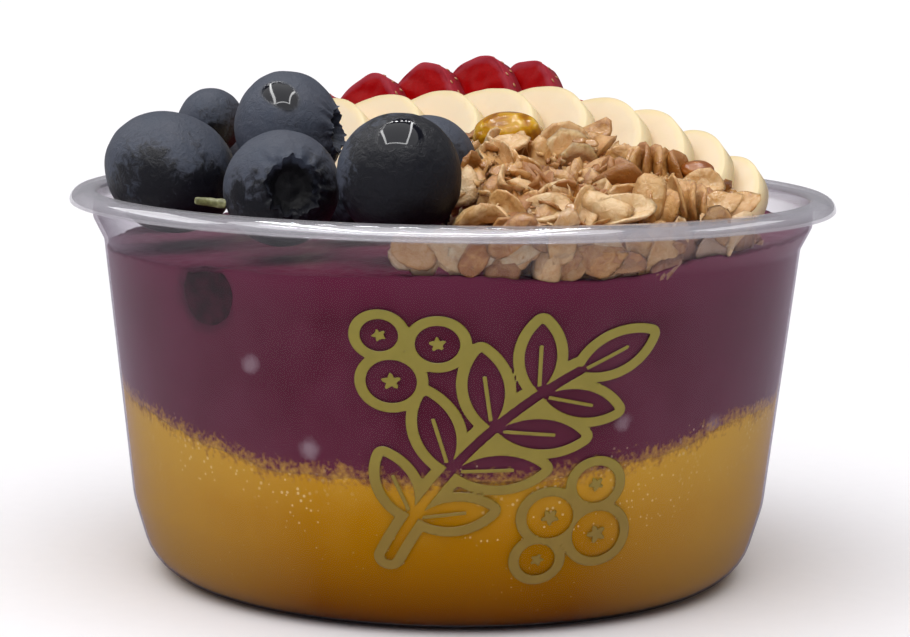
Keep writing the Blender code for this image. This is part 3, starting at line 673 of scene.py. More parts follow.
def slab(outline, thickness, corner, columns):
    """A slice in its own XY plane. outline gives the distance to the edge in each direction, and the
    rows run from the middle of the back round the rounded edge to the middle of the face. Returns the
    points, how far out each one is (0 to 1), and how far round the edge (-1 back, 1 face)."""
    half = thickness / 2
    profile = finer(rounded([(0.0, -half), (1.0, -half), (1.0, half), (0.0, half)], [corner, corner], 5), 1e9)
    flat_back = np.linspace(0.0, profile[1, 0], 14)[:-1]
    flat_face = np.linspace(profile[-2, 0], 0.0, 26)[1:]
    out = np.concatenate([flat_back, profile[1:-1, 0], flat_face])
    level = np.concatenate([0 * flat_back - half, profile[1:-1, 1], 0 * flat_face + half])
    turn = np.arange(columns) * math.tau / columns
    x = out[:, None] * outline * np.cos(turn)
    y = out[:, None] * outline * np.sin(turn)
    points = np.stack([x, y, np.repeat(level[:, None], columns, 1)], -1)
    return points, np.repeat(out[:, None], columns, 1), np.repeat(level[:, None] / half, columns, 1)


BANANA_LEAN = {1: 40, 2: 40, 3: 40, 4: 40, 5: 40, 6: 40, 7: 41, 8: 43, 9: 45}
BANANA_TURN = 48
BANANA_THICK = 4.2

# Banana flesh, freshly cut: moist and a little see-through, so light softens inside it.
banana_finish, tree, mm = new_finish("cut banana flesh")
out = node(tree, "ShaderNodeAttribute", attribute_name="out").outputs["Fac"]
seed_mark = node(tree, "ShaderNodeAttribute", attribute_name="seeds").outputs["Fac"]
round_edge = node(tree, "ShaderNodeAttribute", attribute_name="face").outputs["Fac"]
fibre = node(tree, "ShaderNodeTexNoise", {"Vector": mm, "Scale": 1 / 2.2, "Detail": 5.0}).outputs[0]
shifted = node(tree, "ShaderNodeMath", {0: fibre, 1: 0.10, 2: out}, operation="MULTIPLY_ADD").outputs[0]
flesh = node(tree, "ShaderNodeValToRGB", {0: shifted}, stops=[
    (0.0, "#cdb285"), (0.30, "#dfc7a0"), (0.42, "#d3b98d"), (0.55, "#e4cca9"), (0.94, "#e8d2b0"),
    (1.0, "#e9d3a6")])
marks = node(tree, "ShaderNodeMix", {0: seed_mark, 6: flesh.outputs[0], 7: linear("#a98350")},
             data_type="RGBA").outputs[2]
side = node(tree, "ShaderNodeMapRange", {0: round_edge, 1: 0.98, 2: 0.2, 3: 0.0, 4: 0.85}).outputs[0]
colour = node(tree, "ShaderNodeMix", {0: side, 6: marks, 7: linear("#e8d4a4")}, data_type="RGBA").outputs[2]
relief = node(tree, "ShaderNodeBump", {"Height": fibre, "Strength": 0.25, "Distance": 0.3 * MM})
banana_shader = node(tree, "ShaderNodeBsdfPrincipled", {
    "Base Color": colour, "Roughness": 0.42, "Normal": relief.outputs[0], "Specular IOR Level": 0.35,
    "Subsurface Weight": 0.25, "Subsurface Radius": (1.0, 0.7, 0.35), "Subsurface Scale": 2.0 * MM})
node(tree, "ShaderNodeOutputMaterial", {0: banana_shader.outputs[0]})

for number, lean in BANANA_LEAN.items():
    low, high = (np.array(corner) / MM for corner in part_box(f"banana_slice_{number}"))
    tilt = math.radians(lean)
    radius = ((high - low)[2] / 2 - BANANA_THICK / 2 * math.sin(tilt)) / math.cos(tilt) * 1.006
    turn = np.arange(88) * math.tau / 88
    outline = radius * (1 + 0.018 * np.cos(3 * turn + number)) + 0.12 * ripple(
        np.stack([np.cos(turn), np.sin(turn), 0 * turn + number], -1), 0.9, number)
    points, out, face = slab(outline, BANANA_THICK, 0.55, 88)
    lobes = np.cos(3 * turn + number)
    dip = 0.22 * np.exp(-(out / 0.26) ** 2) + 0.10 * np.exp(-((out - 0.42) / 0.08) ** 2) * (1 + 0.4 * lobes)
    points[..., 2] -= np.sign(face) * dip
    points[..., 2] += 0.05 * ripple(points * (1, 1, 0), 4.0, number + 40) * np.sign(face)
    spots = np.abs(np.cos(9 * turn + number)) ** 14 * (lobes > -0.2)
    seeds = spots * np.exp(-((out - 0.22 - 0.03 * np.cos(5 * turn)) / 0.05) ** 2)
    placed = points @ leaning(BANANA_TURN, lean).T
    middle = (low + high - placed.max((0, 1)) - placed.min((0, 1))) / 2
    banana = skin(f"banana_{number}", placed + middle,
                  {"out": out, "face": np.abs(face), "seeds": 0.8 * seeds})
    banana.data.materials.append(banana_finish)
    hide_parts(f"banana_slice_{number}")
    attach(banana, "root")


# ---------------------------------------------------------------- the strawberry slices
# Strawberries cut lengthways and leaned against each other behind the banana. The cut face is wet and
# deep red, paler along the veins and the core, and the skin round it holds small straw-coloured seeds.
STRAWBERRY_LEAN = {1: 20, 2: 20, 3: 20, 4: 20, 5: 21, 6: 26}
STRAWBERRY_TURN = 35
STRAWBERRY_THICK = 4.5

strawberry_finish, tree, mm = new_finish("cut strawberry")
out = node(tree, "ShaderNodeAttribute", attribute_name="out").outputs["Fac"]
vein = node(tree, "ShaderNodeAttribute", attribute_name="vein").outputs["Fac"]
face = node(tree, "ShaderNodeAttribute", attribute_name="face").outputs["Fac"]
grain = node(tree, "ShaderNodeTexNoise", {"Vector": mm, "Scale": 1 / 1.8, "Detail": 5.0}).outputs[0]
shifted = node(tree, "ShaderNodeMath", {0: grain, 1: 0.12, 2: out}, operation="MULTIPLY_ADD").outputs[0]
flesh = node(tree, "ShaderNodeValToRGB", {0: shifted}, stops=[
    (0.0, "#b04a40"), (0.14, "#a02018"), (0.30, "#a00407"), (0.76, "#a00002"), (0.94, "#9c0005"),
    (1.0, "#9c2c38")])
veined = node(tree, "ShaderNodeMix", {0: vein, 6: flesh.outputs[0], 7: linear("#a0181c")},
              data_type="RGBA").outputs[2]
side = node(tree, "ShaderNodeMapRange", {0: face, 1: 0.97, 2: 0.6, 3: 0.0, 4: 1.0}).outputs[0]
colour = node(tree, "ShaderNodeMix", {0: side, 6: veined, 7: linear("#8c1420")}, data_type="RGBA").outputs[2]
relief = node(tree, "ShaderNodeBump", {"Height": grain, "Strength": 0.35, "Distance": 0.3 * MM})
strawberry_shader = node(tree, "ShaderNodeBsdfPrincipled", {
    "Base Color": colour, "Roughness": 0.34, "Normal": relief.outputs[0], "Specular IOR Level": 0.04,
    "Subsurface Weight": 0.15, "Subsurface Radius": (1.0, 0.15, 0.1), "Subsurface Scale": 1.5 * MM})
node(tree, "ShaderNodeOutputMaterial", {0: strawberry_shader.outputs[0]})

seed_finish, tree, mm = new_finish("strawberry seed")
grain = node(tree, "ShaderNodeTexNoise", {"Vector": mm, "Scale": 1 / 0.6, "Detail": 2.0}).outputs[0]
colour = node(tree, "ShaderNodeMix", {0: grain, 6: linear("#9a5a2c"), 7: linear("#b98248")},
              data_type="RGBA").outputs[2]
seed_shader = node(tree, "ShaderNodeBsdfPrincipled", {"Base Color": colour, "Roughness": 0.45})
node(tree, "ShaderNodeOutputMaterial", {0: seed_shader.outputs[0]})


def many(name, shape, places, frames, sizes, values):
    """One object of many copies of a small closed shape. shape is (rows, columns, 3) as skin() takes it;
    places are the middles, frames the turns and sizes the lengths along each copy's own axes. values hold
    a number for each point of each copy."""
    rows, columns = shape.shape[-3:-1]
    count = len(places)
    ring = np.arange(columns)
    after = (ring + 1) % columns
    row = (np.arange(rows - 3) * columns + 1)[:, None]
    last = (rows - 3) * columns + 1
    quads = np.stack([row + ring, row + after, row + columns + after, row + columns + ring], -1).reshape(-1, 4)
    foot = np.stack([0 * ring, 1 + after, 1 + ring], -1)
    head = np.stack([last + ring, last + after, last + columns + 0 * ring], -1)

    def joined(grid):
        return np.concatenate([grid[:, 0, :1], grid[:, 1:-1].reshape(count, -1, *grid.shape[3:]),
                               grid[:, -1, :1]], 1)

    local = joined(np.broadcast_to(shape, (count, *shape.shape[-3:]))) * sizes[:, None]
    points = np.einsum("nij,nvj->nvi", frames, local) + places[:, None]
    step = points.shape[1] * np.arange(count)[:, None, None]
    polygons = [(faces[None] + step).reshape(-1, faces.shape[1]) for faces in (quads, foot, head)]
    values = {label: joined(np.broadcast_to(grid, (count, rows, columns))).ravel()
              for label, grid in values.items()}
    return mesh_piece(name, points.reshape(-1, 3), polygons, values)


def pip():
    """A seed: a ball of few faces, pointed at one end."""
    fall = np.linspace(0.0, math.pi, 6)
    profile = np.stack([0.5 * np.sin(fall) * (1 - 0.25 * np.cos(fall)), -0.5 * np.cos(fall)], -1)
    return turned(profile, 7)


seed_places, seed_frames = [], []
for number, lean in STRAWBERRY_LEAN.items():
    low, high = (np.array(corner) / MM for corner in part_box(f"strawberry_slice_{number}"))
    tilt = math.radians(lean)
    length = ((high - low)[2] - STRAWBERRY_THICK * math.sin(tilt)) / math.cos(tilt)
    width = length * 21 / 27
    turn = np.arange(104) * math.tau / 104
    up = np.sin(turn)
    blunt = np.sign(np.cos(turn)) * np.abs(np.cos(turn)) ** 0.78
    x, y = width / 2 * (0.80 - 0.28 * up) / 0.84 * blunt, length / 2 * up
    edge = np.hypot(x, y)
    heading = np.arctan2(y, x)
    points, out, face = slab(1.0, STRAWBERRY_THICK, 0.07, 104)
    points[..., 0], points[..., 1] = out * x, out * y
    bulge = 0.5 * (1 - out ** 2) * np.sign(face)
    points[..., 2] += bulge + 0.10 * ripple(points * (1, 1, 0), 3.5, number + 60) * np.sign(face) * (out < 0.98)
    swell = 1 + 0.02 * ripple(np.stack([np.cos(turn), np.sin(turn), 0 * turn], -1), 0.7, number + 90)
    points[..., :2] *= swell[:, None]
    vein = np.clip(ripple(np.stack([7 * np.cos(turn), 7 * np.sin(turn), 0 * turn], -1), 2.0, number), 0, 1)
    vein = vein ** 1.5 * np.exp(-((out - 0.62) / 0.24) ** 2) * 0.55
    frame_turn = leaning(STRAWBERRY_TURN, lean)
    middle = (low + high) / 2
    placed = points @ frame_turn.T
    middle = middle - (placed.max((0, 1)) + placed.min((0, 1))) / 2
    strawberry = skin(f"strawberry_{number}", placed + middle,
                      {"out": out, "face": np.abs(face), "vein": vein})
    strawberry.data.materials.append(strawberry_finish)
    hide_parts(f"strawberry_slice_{number}")
    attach(strawberry, "root")
    for place, level in ((i, (-1.1, 0.2, 1.3)[i // 3 % 3]) for i in range(0, 104, 3)):
        outward = np.array([math.cos(turn[place]), math.sin(turn[place]), 0.0])
        spot = np.array([x[place], y[place], level]) * (swell[place], swell[place], 1)
        seed_places.append(frame_turn @ spot + middle)
        seed_frames.append(frame_turn @ np.stack([outward, np.cross((0, 0, 1), outward), (0, 0, 1)], -1)[:, [0, 2, 1]])
seeds = many("strawberry_seeds", pip(), np.array(seed_places), np.array(seed_frames),
             np.tile([0.35, 0.6, 0.9], (len(seed_places), 1)), {})
seeds.data.materials.append(seed_finish)
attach(seeds, "root")


# ---------------------------------------------------------------- the granola: what lies inside
# Baked oat clusters, spooned on last at the front and right, from the wall up to the banana. Inside, the heap is
# packed flakes and gaps, coloured in dark browns as painted shade. It starts just under the acai's surface.
HEAP_MIDDLE = np.array([24.0, -24.0])


def heap_top(x, y):
    """Height of the heap: it rises from the wall and falls away to the right, in small lumps."""
    rise = 12.6 * (1 - np.exp(-(53.1 - np.hypot(x, y)) / 15))
    right = np.clip((x - 26) / 24, 0, 1)
    lumps = np.sin(x / 3.1 + 0.7) * np.sin(y / 3.7) + 0.6 * np.sin((x + y) / 2.3)
    return 57.6 + rise * (1 - 0.55 * right) + 0.55 * lumps


turn = np.arange(240) * math.tau / 240
way = np.stack([np.cos(turn), np.sin(turn)], -1)
reach = np.linspace(0.0, 60.0, 601)
spots = HEAP_MIDDLE + reach[:, None, None] * way
inside = (spots[..., 0] > 4.2) & (spots[..., 0] < 43.5) & (spots[..., 1] < -5.0) & (np.hypot(spots[..., 0], spots[..., 1]) < 51.8)
edge = reach[np.argmin(inside, axis=0)]
rows = []
for part, height in ((0.0, 0.0), (0.5, 0.0), (0.9, 0.0), (0.985, 0.25), (1.0, 0.6)):
    x, y = (HEAP_MIDDLE + (edge * part)[:, None] * way).T
    low = acai_top(x, y) - 0.6
    rows.append(np.stack([x, y, low + height * (heap_top(x, y) - 2.4 - low)], -1))
for part in np.append(np.linspace(0.985, 0.03, 60), 0.0):
    x, y = (HEAP_MIDDLE + (edge * part)[:, None] * way).T
    here = np.stack([x, y, 0 * x], -1)
    sunk = 2.6 + 1.3 * (1 - np.minimum(1, (1 - part) * 8)) + 0.5 * ripple(here, 4.5, 31)
    rows.append(np.stack([x, y, heap_top(x, y) - sunk + 0.3 * ripple(here, 1.6, 32)], -1))
core = skin("granola_inside", np.stack(rows))
core_finish, tree, mm = new_finish("packed toasted oats in shade")
# Painted shade: the packed oats are coloured in dark browns for the shade deep among the flakes.
grain = node(tree, "ShaderNodeTexNoise", {"Vector": mm, "Scale": 1 / 1.6, "Detail": 5.0}).outputs[0]
shade = node(tree, "ShaderNodeValToRGB", {0: grain}, stops=[
    (0.30, "#4a2508"), (0.48, "#7c4a1c"), (0.62, "#a06c38"), (0.75, "#b78752")])
relief = node(tree, "ShaderNodeBump", {"Height": grain, "Strength": 0.8, "Distance": 0.8 * MM})
packed = node(tree, "ShaderNodeBsdfPrincipled", {
    "Base Color": shade.outputs[0], "Roughness": 0.7, "Normal": relief.outputs[0]})
node(tree, "ShaderNodeOutputMaterial", {0: packed.outputs[0]})
core.data.materials.append(core_finish)
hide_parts("granola_heap")
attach(core, "root")


# ---------------------------------------------------------------- the granola: flakes
# Rolled oats, toasted with honey until they clump: shells and folded ovals about 7 mm long, pale inside
# and browner at the edges. Those at the wall lie flat against it, and the lowest are stained with acai.
def flake_shapes(count, rng, curl, flatness):
    """Rolled oat flakes one unit long: an uneven oval plate with a rounded edge, a crease along the
    middle, cupped across, curled along and twisted. Returns count x rows x columns x 3."""
    columns = 14
    turn = np.arange(columns) * math.tau / columns
    out = np.array([0.0, 0.50, 0.86, 1.0, 0.86, 0.50, 0.0])
    level = np.array([-1.0, -1.0, -0.72, 0.0, 0.72, 1.0, 1.0]) * 0.5
    phase = rng.uniform(0, math.tau, (count, 3, 1))
    ragged = (1 + 0.05 * np.cos(2 * turn + phase[:, 0]) + 0.05 * np.cos(3 * turn + phase[:, 1])
              + 0.02 * np.cos(5 * turn + phase[:, 2]))
    blunt = np.sign([np.cos(turn), np.sin(turn)]) * np.abs([np.cos(turn), np.sin(turn)]) ** 0.88
    x = 0.5 * out[:, None] * (ragged * blunt[0])[:, None]
    y = 0.5 * out[:, None] * (ragged * blunt[1])[:, None]
    thin = flatness[:, None, None] * level[:, None] * (1 - 0.25 * (x ** 2 + y ** 2) * 4)
    crease = -0.05 * np.exp(-(y / 0.12) ** 2) * np.sign(level)[:, None]
    cup, bow, twist = (rng.normal(size=(3, count, 1, 1)) * np.array([0.35, 0.30, 0.5])[:, None, None, None])
    cup = cup + curl[:, None, None]
    wave = 0.035 * np.cos(3 * turn + phase[:, 0])[:, None] * out[:, None] ** 2
    ribs = 0.012 * np.cos(26 * y + phase[:, 1][:, None]) * np.sign(level)[:, None] * (out[:, None] < 0.95)
    z = thin + crease + ribs + cup * y ** 2 + bow * x ** 2 + twist * x * y + wave
    return np.stack([x, y, z - 0.04 * cup], -1)


def frames_of(along, face):
    """Turns whose own +Z are the faces and whose own +X lie as near along as they can."""
    face = face / np.linalg.norm(face, axis=1)[:, None]
    across = np.cross(face, along)
    across /= np.linalg.norm(across, axis=1)[:, None]
    return np.stack([np.cross(across, face), across, face], -1)


rng = np.random.default_rng(12)

# Clumps: each is a stack of flakes that lie much alike, most of them on edge to the front.
clumps = rng.uniform((2.0, -51, 0), (43, -2.5, 0), (1500, 3))
clumps = clumps[np.hypot(clumps[:, 0], clumps[:, 1]) < 51.0][:118]
clump_face = rng.normal(size=(len(clumps), 3)) * (1.0, 0.5, 0.7) + (0, -0.15, 0.25)
clump_along = rng.normal(size=(len(clumps), 3)) * (1.0, 0.7, 0.8)
own = np.repeat(np.arange(len(clumps)), 6)
step = np.tile(np.linspace(-1.0, 1.0, 6), len(clumps))
count = len(own)
face = clump_face[own] / np.linalg.norm(clump_face[own], axis=1)[:, None] + 0.14 * rng.normal(size=(count, 3))
along = clump_along[own] + 0.2 * rng.normal(size=(count, 3))
places = clumps[own] + 4.0 * step[:, None] * face + rng.normal(size=(count, 3)) * 0.6
surface = heap_top(places[:, 0], places[:, 1])
places[:, 2] = surface - 3.0 + 0.5 * (places[:, 2] - places[:, 2].mean()) + rng.uniform(-1.0, 0.8, count)
places[:, 2] -= 1.4 * np.clip((places[:, 1] + 13) / 6, 0, 1) + 1.6 * np.clip((places[:, 0] - 36) / 6, 0, 1)
lengths = rng.uniform(6.4, 9.4, count)
widths = lengths * rng.uniform(0.42, 0.60, count)
curls = np.repeat(rng.uniform(0.4, 1.5, len(clumps)) * rng.choice([-1, 1], len(clumps)), 6)
curls = curls + rng.normal(size=count) * 0.15
tones = np.clip(np.repeat(rng.uniform(0, 1, len(clumps)), 6) * 0.5 + rng.uniform(0, 0.55, count), 0, 1)
stains = np.clip((57.5 - places[:, 2]) / 4, 0, 0.5)

# Flakes pressed against the wall, seen through it. They overlap like scales.
at_wall = 52
angle = np.radians(np.linspace(-6, 58, at_wall) + rng.uniform(-2, 2, at_wall) - 90)
height = 56.6 + 1.9 * np.sin(np.arange(at_wall) * 2.4) + rng.uniform(-0.9, 0.9, at_wall)
height = height - 3.4 * np.exp(-((np.degrees(angle) + 62) / 7) ** 2)
height = np.where(np.degrees(angle) < -84, np.minimum(height, 56.0), height)
outward = np.stack([np.cos(angle), np.sin(angle), 0 * angle], -1)
wall_places = outward * (wall_radius(height) - 0.9 - 0.9 * (np.arange(at_wall) % 3))[:, None]
wall_places[:, 2] = height
wall_face = outward + rng.normal(size=(at_wall, 3)) * 0.18
wall_along = rng.normal(size=(at_wall, 3))
line = acai_top(wall_places[:, 0], wall_places[:, 1])
wall_stain = np.clip((line + 2.4 - height) / 3.5, 0.10, 0.8) + np.where(wall_places[:, 0] < 22, 0.15, 0)

# The flakes that stand out: middle, along, face, length, width, curl, tone.
CHOSEN = [
    ((8.4, -27.2, 65.2), (0.55, 0.2, -0.8), (-0.3, -0.75, 0.55), 9.0, 5.2, 1.4, 0.35),
    ((9.9, -28.0, 64.3), (0.60, 0.2, -0.8), (-0.2, -0.70, 0.60), 9.2, 4.8, 1.3, 0.45),
    ((7.0, -26.6, 66.4), (0.55, 0.1, -0.8), (-0.4, -0.65, 0.65), 8.6, 4.8, 1.2, 0.30),
    ((11.3, -28.6, 63.2), (0.65, 0.2, -0.7), (-0.1, -0.70, 0.70), 8.4, 4.6, 1.2, 0.50),
    ((6.2, -28.8, 62.7), (0.45, 0.1, -0.9), (-0.5, -0.80, 0.30), 8.4, 4.4, 1.5, 0.40),
    ((8.3, -24.0, 68.6), (0.80, 0.1, 0.5), (-0.2, -0.60, 0.75), 6.4, 5.0, 1.0, 0.25),
    ((12.3, -22.8, 66.6), (0.15, 0.2, 0.95), (-0.5, -0.80, 0.2), 6.8, 4.6, -1.6, 0.40),
    ((16.6, -20.0, 67.5), (0.90, 0.1, 0.25), (0.0, -0.65, 0.75), 10.0, 7.2, 1.3, 0.30),
    ((17.4, -21.8, 65.3), (0.95, 0.2, 0.25), (0.1, -0.45, 0.90), 10.5, 6.0, 1.5, 0.20),
    ((16.0, -23.0, 64.0), (0.98, 0.1, 0.05), (0.0, -0.55, 0.85), 8.6, 5.6, 1.1, 0.15),
    ((21.2, -18.6, 67.6), (0.80, 0.2, 0.5), (-0.4, -0.60, 0.65), 7.6, 5.4, 1.2, 0.45),
    ((21.2, -14.2, 69.6), (0.80, 0.2, -0.45), (-0.45, -0.50, 0.70), 6.4, 5.4, 0.9, 0.50),
    ((25.0, -22.6, 65.4), (0.30, 0.1, 0.95), (-0.8, -0.55, 0.1), 7.4, 5.0, 0.9, 0.45),
    ((26.6, -22.3, 65.4), (0.10, 0.1, 0.98), (-0.8, -0.55, 0.1), 7.0, 5.6, 1.0, 0.45),
    ((28.2, -22.0, 65.6), (0.05, 0.1, 0.98), (-0.80, -0.55, 0.1), 7.2, 5.8, 0.9, 0.60),
    ((29.8, -21.8, 65.4), (-0.05, 0.1, 0.98), (-0.80, -0.55, 0.0), 6.8, 5.8, 1.0, 0.55),
    ((31.4, -21.4, 65.0), (-0.20, 0.1, 0.95), (0.8, -0.55, 0.1), 6.6, 5.6, 1.0, 0.50),
    ((33.0, -21.2, 64.8), (-0.25, 0.1, 0.95), (0.9, -0.45, 0.1), 6.8, 4.6, 0.9, 0.65),
    ((21.0, -43.4, 61.8), (0.75, 0.1, -0.55), (-0.3, -0.80, 0.55), 9.4, 6.6, -1.5, 0.18),
    ((18.0, -42.8, 61.0), (0.45, 0.1, 0.8), (0.4, -0.85, 0.35), 7.6, 4.8, 1.3, 0.25),
    ((24.2, -43.2, 60.6), (0.95, 0.3, 0.1), (0.0, -0.75, 0.65), 9.0, 6.2, 1.2, 0.15),
    ((13.0, -43.6, 60.8), (0.90, 0.1, 0.35), (0.0, -0.80, 0.6), 7.6, 5.6, 1.2, 0.20),
    ((7.4, -44.6, 60.6), (0.70, 0.1, -0.6), (-0.2, -0.80, 0.5), 7.4, 5.2, 1.1, 0.40),
    ((4.8, -39.8, 62.2), (0.35, 0.1, 0.9), (-0.4, -0.90, 0.2), 7.4, 4.8, -1.2, 0.50),
    ((27.4, -39.8, 62.4), (0.25, 0.1, 0.95), (-0.3, -0.90, 0.3), 7.8, 6.2, -1.1, 0.35),
    ((29.4, -39.4, 61.2), (0.20, 0.1, 0.95), (0.2, -0.90, 0.3), 7.2, 5.2, 1.2, 0.45),
    ((32.0, -36.6, 62.0), (-0.25, 0.1, 0.95), (-0.7, -0.70, 0.1), 7.4, 5.0, 0.9, 0.40),
    ((33.7, -35.8, 61.6), (-0.20, 0.1, 0.95), (-0.75, -0.65, 0.1), 7.2, 4.8, 0.8, 0.45),
    ((35.4, -35.0, 61.0), (-0.25, 0.1, 0.95), (-0.8, -0.60, 0.1), 6.8, 4.6, 0.8, 0.50),
    ((38.8, -31.0, 60.6), (0.70, 0.3, 0.5), (-0.1, -0.80, 0.6), 7.0, 5.4, 1.0, 0.35),
    ((42.0, -27.2, 60.2), (0.60, 0.5, 0.4), (0.0, -0.80, 0.6), 6.6, 5.0, 1.0, 0.40),
    ((37.0, -24.0, 63.0), (0.80, 0.3, -0.3), (-0.1, -0.75, 0.65), 6.8, 5.0, 1.0, 0.30),
]
chosen = [np.array(column, float) for column in zip(*CHOSEN)]

all_places = np.vstack([places, wall_places, chosen[0]])
all_along = np.vstack([along, wall_along, chosen[1]])
all_face = np.vstack([face, wall_face, chosen[2]])
all_length = np.concatenate([lengths, rng.uniform(5.5, 8.5, at_wall), chosen[3]])
all_width = np.concatenate([widths, rng.uniform(3.4, 5.4, at_wall), chosen[4] * 0.86])
all_curl = np.concatenate([curls, rng.uniform(-0.9, 0.9, at_wall), chosen[5]])
all_tone = np.concatenate([tones, rng.uniform(0, 0.6, at_wall), chosen[6]])
all_stain = np.concatenate([stains, wall_stain, 0 * chosen[6]])

clear_of = np.ones(len(all_places), bool)
for middle, radius in berry_places:
    clear_of &= np.linalg.norm(all_places - middle, axis=1) > radius + 1.6
behind = (all_places[:, 1] > -4.2 - 0.55 * (all_places[:, 2] - 62)) & (np.arange(len(clear_of)) < count)
clear_of &= ~behind
clear_of &= all_places[:, 0] < 43.0
for middle in chosen[0]:
    off = all_places[:count] - middle
    hides = (off[:, 0] ** 2 + off[:, 2] ** 2 < 3.4 ** 2) & (off[:, 1] < 1.5) & (off[:, 1] > -6)
    clear_of[:count] &= ~hides
all_places, all_along, all_face, all_length, all_width, all_curl, all_tone, all_stain = (
    part[clear_of] for part in (all_places, all_along, all_face, all_length, all_width, all_curl, all_tone,
                                all_stain))

count = len(all_places)
thick = rng.uniform(1.4, 2.1, count) / all_length
shapes = flake_shapes(count, rng, all_curl, thick * 1.0)
rim_mark = np.array([0.0, 0.50, 0.86, 1.0, 0.86, 0.50, 0.0])[:, None] + 0 * shapes[..., 0]
flakes = many("granola_flakes", shapes, all_places, frames_of(all_along, all_face),
              np.stack([all_length, all_width, all_length], -1),
              {"rim": rim_mark, "tone": all_tone[:, None, None] + 0 * rim_mark,
               "stain": all_stain[:, None, None] + 0 * rim_mark})


def keep_in_bowl(piece, inset):
    """Flattens what would poke through the wall against it, each copy its own inset in mm further in, so
    that no two lie in one plane."""
    points = np.empty(len(piece.data.vertices) * 3, np.float32)
    piece.data.vertices.foreach_get("co", points)
    points = points.reshape(-1, 3) / MM
    reach = np.hypot(points[:, 0], points[:, 1])
    most = np.where(points[:, 2] < RIM - 0.2, wall_radius(np.minimum(points[:, 2], RIM - 4.2)) - 0.26, 57)
    most = most - np.repeat(inset, len(points) // len(inset))
    points[:, :2] *= np.minimum(1.0, most / reach)[:, None]
    piece.data.vertices.foreach_set("co", (points * MM).astype(np.float32).ravel())
    piece.data.update()


keep_in_bowl(flakes, rng.uniform(0.0, 1.6, count))
flake_finish, tree, mm = new_finish("toasted oat flake")
tone = node(tree, "ShaderNodeAttribute", attribute_name="tone").outputs["Fac"]
rim_place = node(tree, "ShaderNodeAttribute", attribute_name="rim").outputs["Fac"]
stain = node(tree, "ShaderNodeAttribute", attribute_name="stain").outputs["Fac"]
bran = node(tree, "ShaderNodeTexNoise", {"Vector": mm, "Scale": 1 / 1.4, "Detail": 5.0, "Roughness": 0.6,
                                         "Distortion": 0.6}).outputs[0]
mixed = node(tree, "ShaderNodeMath", {0: bran, 1: 0.75, 2: tone}, operation="MULTIPLY_ADD").outputs[0]
oat = node(tree, "ShaderNodeValToRGB", {0: mixed}, stops=[
    (0.25, "#f0d9b2"), (0.50, "#e2bf8e"), (0.78, "#cc9a5a"), (1.0, "#a0662a")])
toasted = node(tree, "ShaderNodeMath", {0: rim_place, 1: bran}, operation="MULTIPLY").outputs[0]
toasted = node(tree, "ShaderNodeMapRange", {0: toasted, 1: 0.42, 2: 0.70, 3: 0.0, 4: 0.55}).outputs[0]
browned = node(tree, "ShaderNodeMix", {0: toasted, 6: oat.outputs[0], 7: linear("#a66e34")},
               data_type="RGBA").outputs[2]
colour = node(tree, "ShaderNodeMix", {0: stain, 6: browned, 7: linear("#6d3b43")}, data_type="RGBA").outputs[2]
glaze = node(tree, "ShaderNodeTexNoise", {"Vector": mm, "Scale": 1 / 4.5, "Detail": 2.0}).outputs[0]
rough = node(tree, "ShaderNodeMapRange", {0: glaze, 1: 0.45, 2: 0.62, 3: 0.55, 4: 0.22}).outputs[0]
relief = node(tree, "ShaderNodeBump", {"Height": bran, "Strength": 0.9, "Distance": 0.4 * MM})
oat_shader = node(tree, "ShaderNodeBsdfPrincipled", {
    "Base Color": colour, "Roughness": rough, "Normal": relief.outputs[0], "Specular IOR Level": 0.45,
    "Subsurface Weight": 0.15, "Subsurface Radius": (1.0, 0.6, 0.3), "Subsurface Scale": 0.8 * MM})
node(tree, "ShaderNodeOutputMaterial", {0: oat_shader.outputs[0]})
flakes.data.materials.append(flake_finish)
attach(flakes, "root")


# ---------------------------------------------------------------- the granola: crumbs
# Broken bits of oat between the flakes, and a few that rolled onto the acai at the back.
rng = np.random.default_rng(7)
crumb_places = rng.uniform((2.5, -51, 0), (50, -2.5, 0), (2600, 3))
crumb_places = crumb_places[np.hypot(crumb_places[:, 0], crumb_places[:, 1]) < 51.5][:520]
crumb_places[:, 2] = heap_top(crumb_places[:, 0], crumb_places[:, 1]) + rng.uniform(-2.8, -0.4, 520)
loose = rng.normal(size=(26, 3)) * (17, 9, 0) + (4, 40, 0)
loose = loose[np.hypot(loose[:, 0], loose[:, 1]) < 50]
loose[:, 2] = acai_top(loose[:, 0], loose[:, 1]) + 0.3
crumb_places = crumb_places[crumb_places[:, 0] < 43.5]
crumb_places = np.vstack([crumb_places, loose])
for middle, radius in berry_places:
    crumb_places = crumb_places[np.linalg.norm(crumb_places - middle, axis=1) > radius + 0.8]
count = len(crumb_places)
fall = np.linspace(0.0, math.pi, 5)
turn = np.arange(6) * math.tau / 6
ball = turned(np.stack([0.5 * np.sin(fall), -0.5 * np.cos(fall)], -1), 6)
jitter = 1 + 0.35 * rng.normal(size=(count, 5, 6, 1))
jitter[:, 0], jitter[:, -1] = 1, 1
crumbs = many("granola_crumbs", ball * np.clip(jitter, 0.5, 1.6), crumb_places,
              frames_of(rng.normal(size=(count, 3)), rng.normal(size=(count, 3))),
              rng.uniform(0.9, 2.2, (count, 1)) * rng.uniform(0.6, 1.0, (count, 3)) * (1.0, 0.8, 0.4),
              {"rim": np.full((count, 5, 6), 0.7), "tone": rng.uniform(0.1, 1, (count, 1, 1)) * np.ones((5, 6)),
               "stain": np.zeros((count, 5, 6))})
keep_in_bowl(crumbs, rng.uniform(0.0, 1.6, count))
crumbs.data.materials.append(flake_finish)
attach(crumbs, "root")


